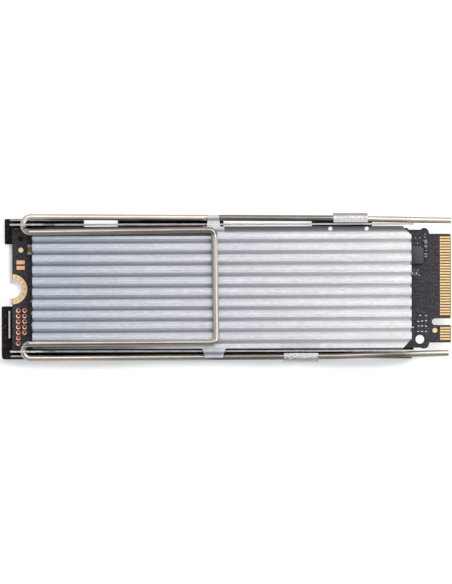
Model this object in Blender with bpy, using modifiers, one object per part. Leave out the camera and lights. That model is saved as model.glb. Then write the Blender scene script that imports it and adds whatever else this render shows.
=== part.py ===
"""Gumstick solid state drive in a folded steel cradle, with a ridged heat sink held by a bent wire clip.

Units are metres and +Z is up. X runs along the drive, towards its edge connector, and X = 0 is the
middle of the circuit board. Y = 0 is the middle of the cradle, and Z = 0 is the underside of the foam.
"""

import math

import bmesh
import bpy
from mathutils import Matrix, Vector

# Clearances
GAP = 0.0003
RUN = 0.00015
SIDE_ROOM = 0.00039
SETTLE = 0.0002

# Circuit board
BOARD_LENGTH = 0.0800
BOARD_WIDTH = 0.0220
BOARD_THICK = 0.0008
TONGUE_STEP = 0.001075
TONGUE_LENGTH = 0.0040
SHOULDER_RADIUS = 0.0009
EDGE_STEPS = (0.00033, 0.00013)
EDGE_STEP_FROM_CONNECTOR = (0.0080, 0.0055)
KEY_WIDTH = 0.0012
KEY_DEPTH = 0.0035
KEY_FROM_MIDDLE = 0.006125
NOTCH_RADIUS = 0.00175
NOTCH_PAD = 0.0010
NOTCH_PAD_ARC = 88
PLATING = 0.00005
FINGER_PITCH = 0.0005
FINGER_WIDTH = 0.00035
FINGER_LENGTH = 0.0020
FINGER_SETBACK = 0.0002
FINGER_FROM_EDGE = 0.000675
FINGER_FROM_KEY = 0.0011
DRILL_DIAMETER = 0.0016
DRILL_FROM_CONNECTOR = 0.0057
DRILL_FROM_SIDE = 0.00168
TOOLING_DIAMETER = 0.0009
TOOLING_FROM_NOTCH = 0.00173
TOOLING_FROM_SIDE = 0.00172
FIDUCIAL_DIAMETER = 0.0009
FIDUCIAL_FROM_NOTCH = 0.0016
FIDUCIAL_FROM_PLUS_SIDE = 0.00386
FIDUCIAL_FROM_CONNECTOR = 0.00297
FIDUCIAL_FROM_MINUS_SIDE = 0.0033
PROBE_PAD = (0.0015, 0.0007)
PROBE_PAD_FROM_NOTCH = 0.00155
PROBE_PADS_FROM_SIDE = (0.0061, 0.0071)

# Soldered parts: one row of chips along the middle, and small parts along the sides
CHIP_HEIGHT = 0.0009
CHIP_SPACING = 0.0026
CHIPS_FROM_NOTCH = 0.0054
CHIPS_FROM_CONNECTOR = 0.0098
FLASH_SIDE_ROOM = 0.0040
CONTROLLER_LENGTH = 0.0120
MEMORY_LENGTH = 0.0090
CHIP_SIDE_ROOM = 0.0050
POWER_CHIP = (0.00205, 0.0027, 0.0006)
POWER_CHIP_FROM_CONNECTOR = 0.00595
POWER_CHIP_FROM_SIDE = 0.0050
COIL = (0.0025, 0.0020, 0.0009)
COIL_SPACING = 0.0012
COIL_COUNT = 3
CRYSTAL = (0.0025, 0.0020, 0.0006)
SIDE_ROW = 0.0025
CHIP_EDGE = 0.00012
COIL_EDGE = 0.00025
SOLDER_GAP = 0.0003
CAP_SHARE = 0.25
WAIST_SHARE = 0.92
WAIST_STEP = 0.00001
CASE_SMALL = (0.0010, 0.0005, 0.0005)
CASE_LARGE = (0.0016, 0.0008, 0.0008)

# Name, size, then the middle's distance from the notch end, or from the connector where negative,
# and from the -Y side, or from the +Y side where negative
CAPACITORS = (
    ("end_capacitor", (0.0008, 0.0018, 0.0008), 0.00325, -0.0038),
    ("edge_capacitor_1", CASE_SMALL, 0.0039, 0.0088),
    ("edge_capacitor_2", CASE_SMALL, 0.0039, 0.0066),
    ("edge_capacitor_3", CASE_SMALL, 0.0039, 0.0045),
    ("tongue_capacitor_1", (0.0005, 0.0006, 0.0005), -0.0046, -0.0050),
    ("tongue_capacitor_2", (0.0005, 0.0010, 0.0005), -0.0046, -0.0030),
    ("tongue_capacitor_3", CASE_SMALL, -0.0067, -0.0083),
    ("bulk_capacitor_1", CASE_LARGE, -0.0112, 0.0025),
    ("bulk_capacitor_2", CASE_LARGE, -0.0136, 0.0025),
    ("bulk_capacitor_3", CASE_LARGE, -0.0160, 0.0025),
)

# Steel sheets
SHEET = 0.0003
BEND = 0.00045
CHANNEL = 0.00086
CRADLE_END_LEFT = 0.0003
TRAY_END_LEFT = 0.00025
FLOOR_INSET = 0.0003
CRADLE_END_RIGHT = 0.0068
BASE_END_RIGHT = 0.0092
SCREW_ROOM = (0.0031, 0.0033, 0.0080)
LIP = (0.00415, 0.00915, 0.0016)
LIP_REACH = 0.00057
WING_LEFT_END = 0.01305
WING_MIDDLE = (0.01925, 0.03855)
WING_RIGHT = (0.01430, 0.02530)
RELIEF = 0.0004
WINDOW_REACH = 0.00045
HOOK_LENGTH = 0.0062
PLUS_HOOK_FROM_CONNECTOR = 0.01525
MINUS_HOOK_FROM_CONNECTOR = 0.0243
PLUS_HOOK_TOP = 0.0007
MINUS_HOOK_TOP = 0.00056
HOOK_CLEAR = 0.0002
EAR_ARM = 0.00045
EAR_POST = 0.0036

# Foam and thermal pads
FOAM_THICK = 0.0008
FOAM_PAST_WALL = {1: 0.00015, -1: 0.0005}
FOAM_REACH = (0.0021, 0.0015)
FOAM_CORNER = 0.0006
LOWER_PAD_THICK = 0.0004
UPPER_PAD_THICK = 0.0003
LOWER_PAD_INSET = 0.0025
PAD_CORNER = 0.0006
UPPER_PAD_INSET = 0.0008
UPPER_PAD_SIDE_ROOM = 0.0035

# Heat sink
SINK_FROM_NOTCH = 0.00376
SINK_FROM_CONNECTOR = 0.0073
SINK_ROOM = 0.00025
SHOULDER_DROP = 0.0010
PLUS_SHOULDER = 0.00089
MINUS_SHOULDER = 0.0002
SHOULDER_STEPS = 5
SINK_PLATE = 0.0012
SKIRT_THICK = 0.0007
SKIRT_CLEAR = 0.0005
GROOVE_PITCH = 0.00203
GROOVES_Y = -0.0007
GROOVE_WIDTH = 0.00085
GROOVE_DEPTH = 0.0006
GROOVE_STEPS = 6
GROOVE_FULLNESS = 0.7
CORNER_CUT = (0.00165, 0.0017)
TAB_THICK = 0.00035
TAB_BELOW_TOP = 0.00002
TAB_PLUS = (0.0019, 0.0026)
TAB_MINUS = (0.0033, 0.0040)
TAB_FROM_NOTCH = 0.03675
TAB_PAST_LEG = {1: 0.0007, -1: 0.00022}
RIB_DIAMETER = 0.0007
RIB_DROP = 0.0001
RIBS_FROM_CONNECTOR = (0.01533, 0.02194)

# Wire clip
WIRE = 0.0011
WIRE_ROUNDNESS = 6
LEG_PAST_WALL = 0.0001
TURN_SPLAY = {1: 0.00044, -1: 0.0003}
TURN_PITCH = {1: 0.00285, -1: 0.00269}
TURN_STEPS = 24
TURN_FROM_NOTCH = 0.0021
CROSSBAR_FROM_NOTCH = 0.03708
CROSSBAR_SKEW = 0.0003
CROSSBAR_CORNERS = (0.00039, -0.0001)
CORNER_RADIUS = 0.0012
LEG_BEND_FROM_CONNECTOR = 0.0213
LEG_PLAY = 0.00005
LEG_TOE_IN = {1: 0.0004, -1: 0.0005}
LEG_ENDS_SHORT_OF_BOARD = (0.00005, 0.0006)

# Heights, from the foam up
FOAM_TOP = FOAM_THICK
TRAY_MID = FOAM_TOP + GAP + SHEET / 2
CRADLE_MID = TRAY_MID + SHEET + GAP
LOWER_PAD_BASE = CRADLE_MID + SHEET / 2 + GAP
BOARD_BASE = LOWER_PAD_BASE + LOWER_PAD_THICK + GAP
BOARD_TOP = BOARD_BASE + BOARD_THICK
TALLEST = max(CHIP_HEIGHT, COIL[2])
UPPER_PAD_BASE = BOARD_TOP + SOLDER_GAP + TALLEST + GAP
SINK_BASE = UPPER_PAD_BASE + UPPER_PAD_THICK + GAP
SINK_TOP = SINK_BASE + SINK_PLATE
WIRE_RADIUS = WIRE / 2
LEG_Z = SINK_TOP - TAB_THICK - RUN - WIRE_RADIUS
LOOP_Z = SINK_TOP + RUN + WIRE_RADIUS
WALL_TOP = LEG_Z - WIRE_RADIUS - GAP
ARM_BASE = LEG_Z + WIRE_RADIUS + GAP
ARM_TOP = ARM_BASE + EAR_ARM

# Places along X
NOTCH_X = -BOARD_LENGTH / 2
CONNECTOR_X = BOARD_LENGTH / 2
CRADLE_LEFT = NOTCH_X - CRADLE_END_LEFT
CRADLE_RIGHT = CONNECTOR_X - CRADLE_END_RIGHT
BASE_RIGHT = CONNECTOR_X - BASE_END_RIGHT
TRAY_LEFT = NOTCH_X - TRAY_END_LEFT
LIP_X = NOTCH_X - LIP_REACH
FLOOR_LEFT = NOTCH_X + FLOOR_INSET
ROOM_X = NOTCH_X + SCREW_ROOM[0]
SINK_LEFT = NOTCH_X + SINK_FROM_NOTCH
SINK_RIGHT = CONNECTOR_X - SINK_FROM_CONNECTOR
TAB_X = NOTCH_X + TAB_FROM_NOTCH
TURN_X = NOTCH_X + TURN_FROM_NOTCH

# Places across Y
BOARD_Y = -SETTLE
BOARD_HALF = BOARD_WIDTH / 2
TONGUE_HALF = BOARD_HALF - TONGUE_STEP
SIDE_ROW_Y = BOARD_HALF - SIDE_ROW
WALL_MID = BOARD_HALF + SIDE_ROOM + SHEET / 2
SINK_HALF = WALL_MID - SHEET / 2 - SINK_ROOM
TOP_EDGE = {1: SINK_HALF - PLUS_SHOULDER, -1: MINUS_SHOULDER - SINK_HALF}
OUTER_MID = WALL_MID + CHANNEL
LEG_Y = OUTER_MID + LEG_PAST_WALL
HOOK_RADIUS = WIRE_RADIUS + HOOK_CLEAR + SHEET / 2
WINDOW_Y = WALL_MID - SHEET / 2 - WINDOW_REACH

SHARP_ANGLE = math.radians(34)
PARTS = "gumstick_drive"
CUTTERS = "cutters"


def clear_scene():
    """Removes whatever the file starts with."""
    for obj in list(bpy.data.objects):
        bpy.data.objects.remove(obj, do_unlink=True)


def make_collection(name):
    made = bpy.data.collections.new(name)
    bpy.context.scene.collection.children.link(made)
    return made


def finish_of(name, color, roughness, metallic=0.0):
    """A Principled material of one colour."""
    made = bpy.data.materials.new(name)
    made.use_nodes = True
    shader = made.node_tree.nodes["Principled BSDF"]
    shader.inputs["Base Color"].default_value = (*color, 1.0)
    shader.inputs["Roughness"].default_value = roughness
    shader.inputs["Metallic"].default_value = metallic
    return made


def add_object(name, mesh, finish=None):
    """Links a mesh as a part, or as a cutter where it has no finish."""
    obj = bpy.data.objects.new(name, mesh)
    bpy.data.collections[PARTS if finish else CUTTERS].objects.link(obj)
    if finish:
        mesh.materials.append(finish)
    else:
        obj.hide_render = True
        obj.display_type = "WIRE"
    return obj


def curve_to_mesh(curve_obj, name):
    """The evaluated mesh of a curve object, with its caps welded. The curve is removed."""
    bpy.context.scene.collection.objects.link(curve_obj)
    bpy.context.view_layer.update()
    graph = bpy.context.evaluated_depsgraph_get()
    mesh = bpy.data.meshes.new_from_object(curve_obj.evaluated_get(graph))
    mesh.transform(curve_obj.matrix_world)
    mesh.name = name
    bpy.data.objects.remove(curve_obj, do_unlink=True)
    shape = bmesh.new()
    shape.from_mesh(mesh)
    bmesh.ops.remove_doubles(shape, verts=shape.verts, dist=1e-7)
    bmesh.ops.recalc_face_normals(shape, faces=shape.faces)
    shape.to_mesh(mesh)
    shape.free()
    mesh.shade_smooth()
    mesh.set_sharp_from_angle(angle=SHARP_ANGLE)
    return mesh


# The way each axis stands a flat outline: its first two numbers, then the way it is extruded
STANDS = {
    "Z": Matrix.Identity(4),
    "X": Matrix(((0, 0, 1, 0), (1, 0, 0, 0), (0, 1, 0, 0), (0, 0, 0, 1))),
    "Y": Matrix(((1, 0, 0, 0), (0, 0, -1, 0), (0, 1, 0, 0), (0, 0, 0, 1))),
}


def plate_mesh(name, outlines, low, high, axis="Z"):
    """A flat outline with any holes in it, extruded along an axis from low to high."""
    curve = bpy.data.curves.new(name, "CURVE")
    curve.dimensions = "2D"
    curve.fill_mode = "BOTH"
    curve.extrude = (high - low) / 2
    for outline in outlines:
        spline = curve.splines.new("POLY")
        spline.points.add(len(outline) - 1)
        for point, (u, v) in zip(spline.points, outline):
            point.co = (u, v, 0.0, 1.0)
        spline.use_cyclic_u = True
    obj = bpy.data.objects.new(name, curve)
    middle = (high + low) / 2
    along = Matrix.Translation((0.0, 0.0, -middle if axis == "Y" else middle))
    obj.matrix_world = STANDS[axis] @ along
    return curve_to_mesh(obj, name)


def arc(center, radius, start, end, steps):
    """Points on an arc, with its angles in degrees."""
    angles = [math.radians(start + (end - start) * i / steps) for i in range(steps + 1)]
    return [(center[0] + radius * math.cos(a), center[1] + radius * math.sin(a)) for a in angles]


def rectangle(low, high):
    return [low, (high[0], low[1]), high, (low[0], high[1])]


def rounded_rectangle(low, high, radius, steps=4):
    """A rectangle with round corners, counter-clockwise."""
    corners = (
        ((high[0] - radius, low[1] + radius), -90),
        ((high[0] - radius, high[1] - radius), 0),
        ((low[0] + radius, high[1] - radius), 90),
        ((low[0] + radius, low[1] + radius), 180),
    )
    return [p for center, turn in corners for p in arc(center, radius, turn, turn + 90, steps)]


def circle(center, diameter, steps=20):
    return arc(center, diameter / 2, 0, 360 - 360 / steps, steps - 1)


def boolean(obj, tool, operation):
    step = obj.modifiers.new(f"{operation.lower()}_{tool.name}", "BOOLEAN")
    step.operation = operation
    step.object = tool
    step.solver = "EXACT"


def cut(obj, name, outlines, low, high, axis="Z"):
    boolean(obj, add_object(name, plate_mesh(name, outlines, low, high, axis)), "DIFFERENCE")


def join(obj, name, outlines, low, high, axis="Z"):
    boolean(obj, add_object(name, plate_mesh(name, outlines, low, high, axis)), "UNION")


def folded_sheet(name, outline, flanges, mid, finish):
    """A sheet of SHEET thickness. Each flange folds up from the edge that starts at its outline corner.

    A flange's profile is a list of (out, up) distances from that edge.
    """
    shape = bmesh.new()
    base = [shape.verts.new((x, y, mid)) for x, y in outline]
    shape.faces.new(base)
    for corner, profile in flanges:
        first, second = base[corner], base[(corner + 1) % len(base)]
        along = (second.co - first.co).normalized()
        outward = along.cross(Vector((0, 0, 1)))
        last = (first, second)
        for out, up in profile:
            shift = outward * out + Vector((0, 0, up))
            row = (shape.verts.new(first.co + shift), shape.verts.new(second.co + shift))
            shape.faces.new((last[1], last[0], row[0], row[1]))
            last = row
    mesh = bpy.data.meshes.new(name)
    shape.to_mesh(mesh)
    shape.free()
    obj = add_object(name, mesh, finish)
    thicken = obj.modifiers.new("sheet", "SOLIDIFY")
    thicken.thickness = SHEET
    thicken.offset = 0.0
    thicken.use_even_offset = True
    return obj


def wall_profile(top, mid):
    """A bend and a straight wall that ends at the height top."""
    bend = [(BEND * math.sin(a), BEND * (1 - math.cos(a))) for a in bend_angles(90, 4)]
    return bend + [(BEND, top - mid)]


def bend_angles(degrees, steps):
    return [math.radians(degrees * (i + 1) / steps) for i in range(steps)]


def hook_profile(start, top, mid):
    """Out under the wire leg, up beside it and round over its top, then straight in."""
    riser = LEG_Y + HOOK_RADIUS - start
    lower = [
        (riser - BEND + BEND * math.sin(a), BEND * (1 - math.cos(a))) for a in bend_angles(90, 4)
    ]
    height = LEG_Z - mid
    axis = LEG_Y - start
    curl = [
        (axis + HOOK_RADIUS * math.cos(a), height + HOOK_RADIUS * math.sin(a))
        for a in bend_angles(90, 8)
    ]
    end = (axis - top, height + HOOK_RADIUS)
    return [(riser - BEND, 0.0)] + lower + [(riser, height)] + curl + [end]


def make_foam(finish):
    plus_edge, minus_edge = (side * (OUTER_MID + SHEET / 2 + FOAM_PAST_WALL[side]) for side in (1, -1))
    left_low = NOTCH_X - FOAM_REACH[0]
    left_high = NOTCH_X - FOAM_REACH[1]
    strip_end = CRADLE_RIGHT
    corner = FOAM_CORNER
    outline = [(left_low, -SCREW_ROOM[1])]
    outline += arc((left_low + corner, minus_edge + corner), corner, 180, 270, 4)
    outline += arc((strip_end - corner, minus_edge + corner), corner, 270, 360, 4)
    outline += [(strip_end, -WINDOW_Y), (BASE_RIGHT, -WINDOW_Y), (BASE_RIGHT, WINDOW_Y)]
    for start, end in reversed(plus_wings()):
        outline += [(end, WINDOW_Y), (end, plus_edge), (start, plus_edge), (start, WINDOW_Y)]
    outline = outline[:-2]
    outline += [(left_high, plus_edge), (left_high, SCREW_ROOM[2])]
    outline += [(ROOM_X, SCREW_ROOM[2]), (ROOM_X, -SCREW_ROOM[1])]
    mesh = plate_mesh("foam_pad", [outline], 0.0, FOAM_TOP)
    return add_object("foam_pad", mesh, finish)


def plus_wings():
    """The stretches of the +Y side where the tray reaches out past the cradle."""
    return [
        (TRAY_LEFT, NOTCH_X + WING_LEFT_END),
        (NOTCH_X + WING_MIDDLE[0], NOTCH_X + WING_MIDDLE[1]),
        (CONNECTOR_X - WING_RIGHT[1], CONNECTOR_X - WING_RIGHT[0]),
    ]


def hook_span(from_connector):
    start = CONNECTOR_X - from_connector - HOOK_LENGTH
    return (start, start + HOOK_LENGTH)


def split_at_hook(wing, hook):
    """The wall stretches of a wing that are left on each side of its hook and reliefs."""
    before = (wing[0], hook[0] - RELIEF)
    after = (hook[1] + RELIEF, wing[1])
    return [span for span in (before, after) if span[1] - span[0] > RELIEF]


def tray_side(side):
    """The wall and hook stretches of one side, in order of X."""
    if side > 0:
        hook = hook_span(PLUS_HOOK_FROM_CONNECTOR)
        wings = plus_wings()
        wings = wings[:2] + split_at_hook(wings[2], hook)
    else:
        hook = hook_span(MINUS_HOOK_FROM_CONNECTOR)
        wings = split_at_hook((TRAY_LEFT, BASE_RIGHT), hook)
    return sorted([(span, "wall") for span in wings] + [(hook, "hook")])


def floor_notch():
    """The notch end of a sheet's floor, from +Y: it hides under the board and leaves the screw free."""
    points = [(FLOOR_LEFT, WINDOW_Y), (FLOOR_LEFT, SCREW_ROOM[2]), (ROOM_X, SCREW_ROOM[2])]
    return points + [(ROOM_X, -SCREW_ROOM[1]), (FLOOR_LEFT, -SCREW_ROOM[1])]


def make_tray(finish):
    """The outer sheet: a floor, low outer walls, a hook over each wire leg and an end lip."""
    bend_y = OUTER_MID - BEND
    outline, flanges = [], []
    for side, hook_top in ((-1, MINUS_HOOK_TOP), (1, PLUS_HOOK_TOP)):
        profiles = {"wall": wall_profile(WALL_TOP, TRAY_MID)}
        profiles["hook"] = hook_profile(bend_y, hook_top, TRAY_MID)
        for span, kind in tray_side(side)[::-side]:
            first, second = span[::-side]
            flanges.append((len(outline) + 1, profiles[kind]))
            outline += [(first, side * WINDOW_Y), (first, side * bend_y)]
            outline += [(second, side * bend_y), (second, side * WINDOW_Y)]
        if side < 0:
            outline += [(BASE_RIGHT + RELIEF, -WINDOW_Y), (BASE_RIGHT + RELIEF, WINDOW_Y)]
    outline += floor_notch() + [(FLOOR_LEFT, -LIP[0])]
    flanges.append((len(outline), [(0.0, LIP[2])]))
    outline += [(LIP_X, -LIP[0]), (LIP_X, -LIP[1]), (FLOOR_LEFT, -LIP[1]), (FLOOR_LEFT, -WINDOW_Y)]
    return folded_sheet("tray", outline, flanges, TRAY_MID, finish)


def make_cradle(finish):
    """The inner channel: a floor and two long walls, each with an ear over a turn of the wire."""
    bend_y = WALL_MID - BEND
    outline = [(CRADLE_LEFT, -bend_y), (CRADLE_RIGHT, -bend_y), (CRADLE_RIGHT, bend_y)]
    outline += [(CRADLE_LEFT, bend_y), (CRADLE_LEFT, WINDOW_Y)] + floor_notch()
    outline += [(FLOOR_LEFT, -WINDOW_Y), (CRADLE_LEFT, -WINDOW_Y)]
    profile = wall_profile(ARM_TOP, CRADLE_MID)
    cradle = folded_sheet("cradle", outline, [(0, profile), (2, profile)], CRADLE_MID, finish)
    post_right = TURN_X + EAR_POST
    high = ARM_TOP + GAP
    far = CRADLE_RIGHT + GAP
    slope = ARM_TOP - WALL_TOP
    above_wall = [(post_right + slope, WALL_TOP), (far, WALL_TOP), (far, high), (post_right, high)]
    above_wall += [(post_right, ARM_TOP)]
    slot_mid = (ARM_BASE + WALL_TOP) / 2
    slot_radius = (ARM_BASE - WALL_TOP) / 2
    slot = arc((TURN_X, slot_mid), slot_radius, -90, 90, 8)
    slot += [(CRADLE_LEFT - GAP, ARM_BASE), (CRADLE_LEFT - GAP, WALL_TOP)]
    across = BOARD_WIDTH
    cut(cradle, "above_cradle_walls", [above_wall], -across, across, "Y")
    cut(cradle, "turn_slots", [slot], -across, across, "Y")
    floor_end = rectangle((BASE_RIGHT, -bend_y), (far, bend_y))
    cut(cradle, "cradle_floor_end", [floor_end], CRADLE_MID - SHEET, CRADLE_MID + SHEET)
    ends = [x for wing in plus_wings() for x in wing][1:] + [far]
    windows = [
        rectangle((start, WINDOW_Y), (end, WALL_MID + SHEET))
        for start, end in zip(ends[::2], ends[1::2])
    ]
    cut(cradle, "cradle_windows", windows, CRADLE_MID - SHEET, CRADLE_MID + BEND + SHEET)
    return cradle


def board_outline():
    """Counter-clockwise from the notch end: key, shoulders and the half-round screw notch."""
    half, tongue = BOARD_HALF, TONGUE_HALF
    shoulder_x = CONNECTOR_X - TONGUE_LENGTH
    radius = SHOULDER_RADIUS
    key_low = -KEY_FROM_MIDDLE - KEY_WIDTH / 2
    key_center = (CONNECTOR_X - KEY_DEPTH + KEY_WIDTH / 2, -KEY_FROM_MIDDLE)
    start, end = (CONNECTOR_X - x for x in EDGE_STEP_FROM_CONNECTOR)
    high, low = half - EDGE_STEPS[0], EDGE_STEPS[1] - half
    points = [(NOTCH_X, -half), (start, -half), (start - low - half, low), (end, low)]
    points += [(end + low + half, -half)]
    points += arc((shoulder_x - radius, -half + radius), radius, 270, 360, 4)
    points += [(shoulder_x, -tongue), (CONNECTOR_X, -tongue), (CONNECTOR_X, key_low)]
    points += arc(key_center, KEY_WIDTH / 2, 270, 90, 8)
    points += [(CONNECTOR_X, key_low + KEY_WIDTH), (CONNECTOR_X, tongue), (shoulder_x, tongue)]
    points += arc((shoulder_x - radius, half - radius), radius, 0, 90, 4)
    points += [(end + half - high, half), (end, high), (start + half - high, high)]
    points += [(start, half), (NOTCH_X, half)]
    points += arc((NOTCH_X, 0.0), NOTCH_RADIUS, 90, -90, 16)
    return [(x, y + BOARD_Y) for x, y in points]


def finger_outlines(shift):
    """The gold contacts of one face, on both sides of the key."""
    right = CONNECTOR_X - FINGER_SETBACK
    left = CONNECTOR_X - FINGER_LENGTH
    first = TONGUE_HALF - FINGER_FROM_EDGE
    found = []
    for step in range(round((2 * first - 2 * shift) / FINGER_PITCH) + 1):
        y = first - shift - step * FINGER_PITCH
        if abs(y + KEY_FROM_MIDDLE) < FINGER_FROM_KEY:
            continue
        low, high = y + BOARD_Y - FINGER_WIDTH / 2, y + BOARD_Y + FINGER_WIDTH / 2
        found.append(rectangle((left, low), (right, high)))
    return found


def notch_pad():
    """The half ring of plating that the screw head clamps."""
    end = NOTCH_PAD_ARC
    outer = arc((NOTCH_X, BOARD_Y), NOTCH_RADIUS + NOTCH_PAD, -end, end, 16)
    inner = arc((NOTCH_X, BOARD_Y), NOTCH_RADIUS + PLATING, end, -end, 16)
    return outer + inner


def make_board(finish):
    top_side, low_side = BOARD_Y + BOARD_HALF, BOARD_Y - BOARD_HALF
    drill = (CONNECTOR_X - DRILL_FROM_CONNECTOR, low_side + DRILL_FROM_SIDE)
    tooling = (NOTCH_X + TOOLING_FROM_NOTCH, top_side - TOOLING_FROM_SIDE)
    outlines = [board_outline(), circle(drill, DRILL_DIAMETER), circle(tooling, TOOLING_DIAMETER)]
    mesh = plate_mesh("circuit_board", outlines, BOARD_BASE, BOARD_TOP)
    board = add_object("circuit_board", mesh, finish)
    sunk = BOARD_THICK / 4
    top = (BOARD_TOP - sunk, BOARD_TOP + PLATING)
    under = (BOARD_BASE - PLATING, BOARD_BASE + sunk)
    join(board, "top_fingers", finger_outlines(0.0), *top)
    join(board, "under_fingers", finger_outlines(FINGER_PITCH / 2), *under)
    fiducials = (
        (NOTCH_X + FIDUCIAL_FROM_NOTCH, top_side - FIDUCIAL_FROM_PLUS_SIDE),
        (CONNECTOR_X - FIDUCIAL_FROM_CONNECTOR, low_side + FIDUCIAL_FROM_MINUS_SIDE),
    )
    marks = [notch_pad()] + [circle(place, FIDUCIAL_DIAMETER, 16) for place in fiducials]
    join(board, "top_pads", marks, *top)
    probes = []
    for from_side in PROBE_PADS_FROM_SIDE:
        middle = (NOTCH_X + PROBE_PAD_FROM_NOTCH, top_side - from_side)
        low = (middle[0] - PROBE_PAD[0] / 2, middle[1] - PROBE_PAD[1] / 2)
        probes.append(rectangle(low, (low[0] + PROBE_PAD[0], low[1] + PROBE_PAD[1])))
    join(board, "probe_pads", probes, *top)
    join(board, "under_notch_pad", [notch_pad()], *under)
    return board


def make_chip(name, size, place, finish, edge=CHIP_EDGE):
    """A moulded block with softened edges. place is the middle of its underside in X and Y."""
    shape = bmesh.new()
    bmesh.ops.create_cube(shape, size=1.0)
    bmesh.ops.scale(shape, vec=size, verts=shape.verts)
    mesh = bpy.data.meshes.new(name)
    shape.to_mesh(mesh)
    shape.free()
    obj = add_object(name, mesh, finish)
    obj.location = (place[0], place[1] + BOARD_Y, BOARD_TOP + SOLDER_GAP + size[2] / 2)
    soften = obj.modifiers.new("edges", "BEVEL")
    soften.width = edge
    soften.segments = 2
    return obj


def make_capacitor(name, size, place, finish):
    """A ceramic block with a slightly larger metal cap on each end, along its longer side."""
    length, width, height = size
    shape = bmesh.new()
    bmesh.ops.create_cube(shape, size=1.0)
    along_y = width > length
    long_side, short_side = max(length, width), min(length, width)
    bmesh.ops.scale(shape, vec=(long_side, short_side, height), verts=shape.verts)
    for side in (-1, 1):
        end = side * long_side * (0.5 - CAP_SHARE)
        geometry = shape.verts[:] + shape.edges[:] + shape.faces[:]
        bmesh.ops.bisect_plane(shape, geom=geometry, plane_co=(end, 0, 0), plane_no=(1, 0, 0))
    inner = long_side * (1 - CAP_SHARE) / 2
    middle = [f for f in shape.faces if all(abs(v.co.x) < inner for v in f.verts)]
    bmesh.ops.inset_region(shape, faces=middle, thickness=WAIST_STEP, use_even_offset=True)
    for vertex in {v for f in middle for v in f.verts}:
        vertex.co.y *= WAIST_SHARE
        vertex.co.z *= WAIST_SHARE
    mesh = bpy.data.meshes.new(name)
    shape.to_mesh(mesh)
    shape.free()
    obj = add_object(name, mesh, finish)
    obj.location = (place[0], place[1] + BOARD_Y, BOARD_TOP + SOLDER_GAP + height / 2)
    obj.rotation_euler.z = math.pi / 2 if along_y else 0.0
    return obj


def groove_profile(y):
    """One round-bottomed groove across the top, from its +Y side to its -Y side."""
    points = []
    for i in range(GROOVE_STEPS + 1):
        turn = math.pi * i / GROOVE_STEPS
        depth = GROOVE_DEPTH * math.sin(turn) ** GROOVE_FULLNESS
        points.append((y + GROOVE_WIDTH / 2 * math.cos(turn), SINK_TOP - depth))
    return points


def groove_places():
    """The grooves' middles, as many as fit on the top, from the +Y side."""
    room = min(TOP_EDGE[1] - GROOVES_Y, GROOVES_Y - TOP_EDGE[-1]) - GROOVE_WIDTH / 2
    count = 2 * int(room / GROOVE_PITCH + 0.5)
    return [GROOVES_Y + ((count - 1) / 2 - i) * GROOVE_PITCH for i in range(count)]


def shoulder(side):
    """The round shoulder from a skirt up to the edge of the top."""
    width = abs(side * SINK_HALF - TOP_EDGE[side])
    points = []
    for i in range(SHOULDER_STEPS + 1):
        turn = math.pi / 2 * i / SHOULDER_STEPS
        y = side * (SINK_HALF - width * (1 - math.cos(turn)))
        points.append((y, SINK_TOP - SHOULDER_DROP * (1 - math.sin(turn))))
    return points


def sink_section():
    """The section across the heat sink: skirts, underside and a grooved top."""
    foot = BOARD_TOP + SKIRT_CLEAR
    inner = SINK_HALF - SKIRT_THICK
    points = [(-SINK_HALF, foot), (-inner, foot), (-inner, SINK_BASE), (inner, SINK_BASE)]
    points += [(inner, foot), (SINK_HALF, foot)] + shoulder(1)
    for y in groove_places():
        points += groove_profile(y)
    return points + shoulder(-1)[::-1]


def tab_outline(side, widths):
    """A tab with flared roots, from the ridged top out over the wire leg."""
    tip, root = widths
    edge = TOP_EDGE[side]
    end = side * (LEG_Y + TAB_PAST_LEG[side])
    flare = (root - tip) / 2
    inside = edge - side * GROOVE_WIDTH / 2
    points = [(TAB_X - root / 2 - flare, inside), (TAB_X - root / 2 - flare, edge)]
    points += [(TAB_X - root / 2, edge + side * flare), (TAB_X - tip / 2, end)]
    mirrored = [(2 * TAB_X - x, y) for x, y in reversed(points)]
    return points + mirrored


def make_heat_sink(finish):
    mesh = plate_mesh("heat_sink", [sink_section()], SINK_LEFT, SINK_RIGHT, "X")
    sink = add_object("heat_sink", mesh, finish)
    low, high = SINK_TOP - TAB_THICK, SINK_TOP - TAB_BELOW_TOP
    join(sink, "plus_tab", [tab_outline(1, TAB_PLUS)], low, high)
    join(sink, "minus_tab", [tab_outline(-1, TAB_MINUS)], low, high)
    rib_y = SINK_HALF - PLUS_SHOULDER / 2
    ribs = [circle((CONNECTOR_X - x, rib_y), RIB_DIAMETER, 12) for x in RIBS_FROM_CONNECTOR]
    join(sink, "edge_ribs", ribs, SINK_TOP - SHOULDER_DROP, SINK_TOP - RIB_DROP)
    over = GAP
    for side, name in ((1, "plus_corner"), (-1, "minus_corner")):
        y = side * SINK_HALF
        corner = [(SINK_RIGHT - CORNER_CUT[0] - over, y + side * over)]
        corner += [(SINK_RIGHT + over, y + side * over), (SINK_RIGHT + over, y - side * CORNER_CUT[1])]
        corner += [(SINK_RIGHT, y - side * CORNER_CUT[1]), (SINK_RIGHT - CORNER_CUT[0], y)]
        cut(sink, name, [corner], BOARD_TOP, SINK_TOP + over)
    return sink


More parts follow.
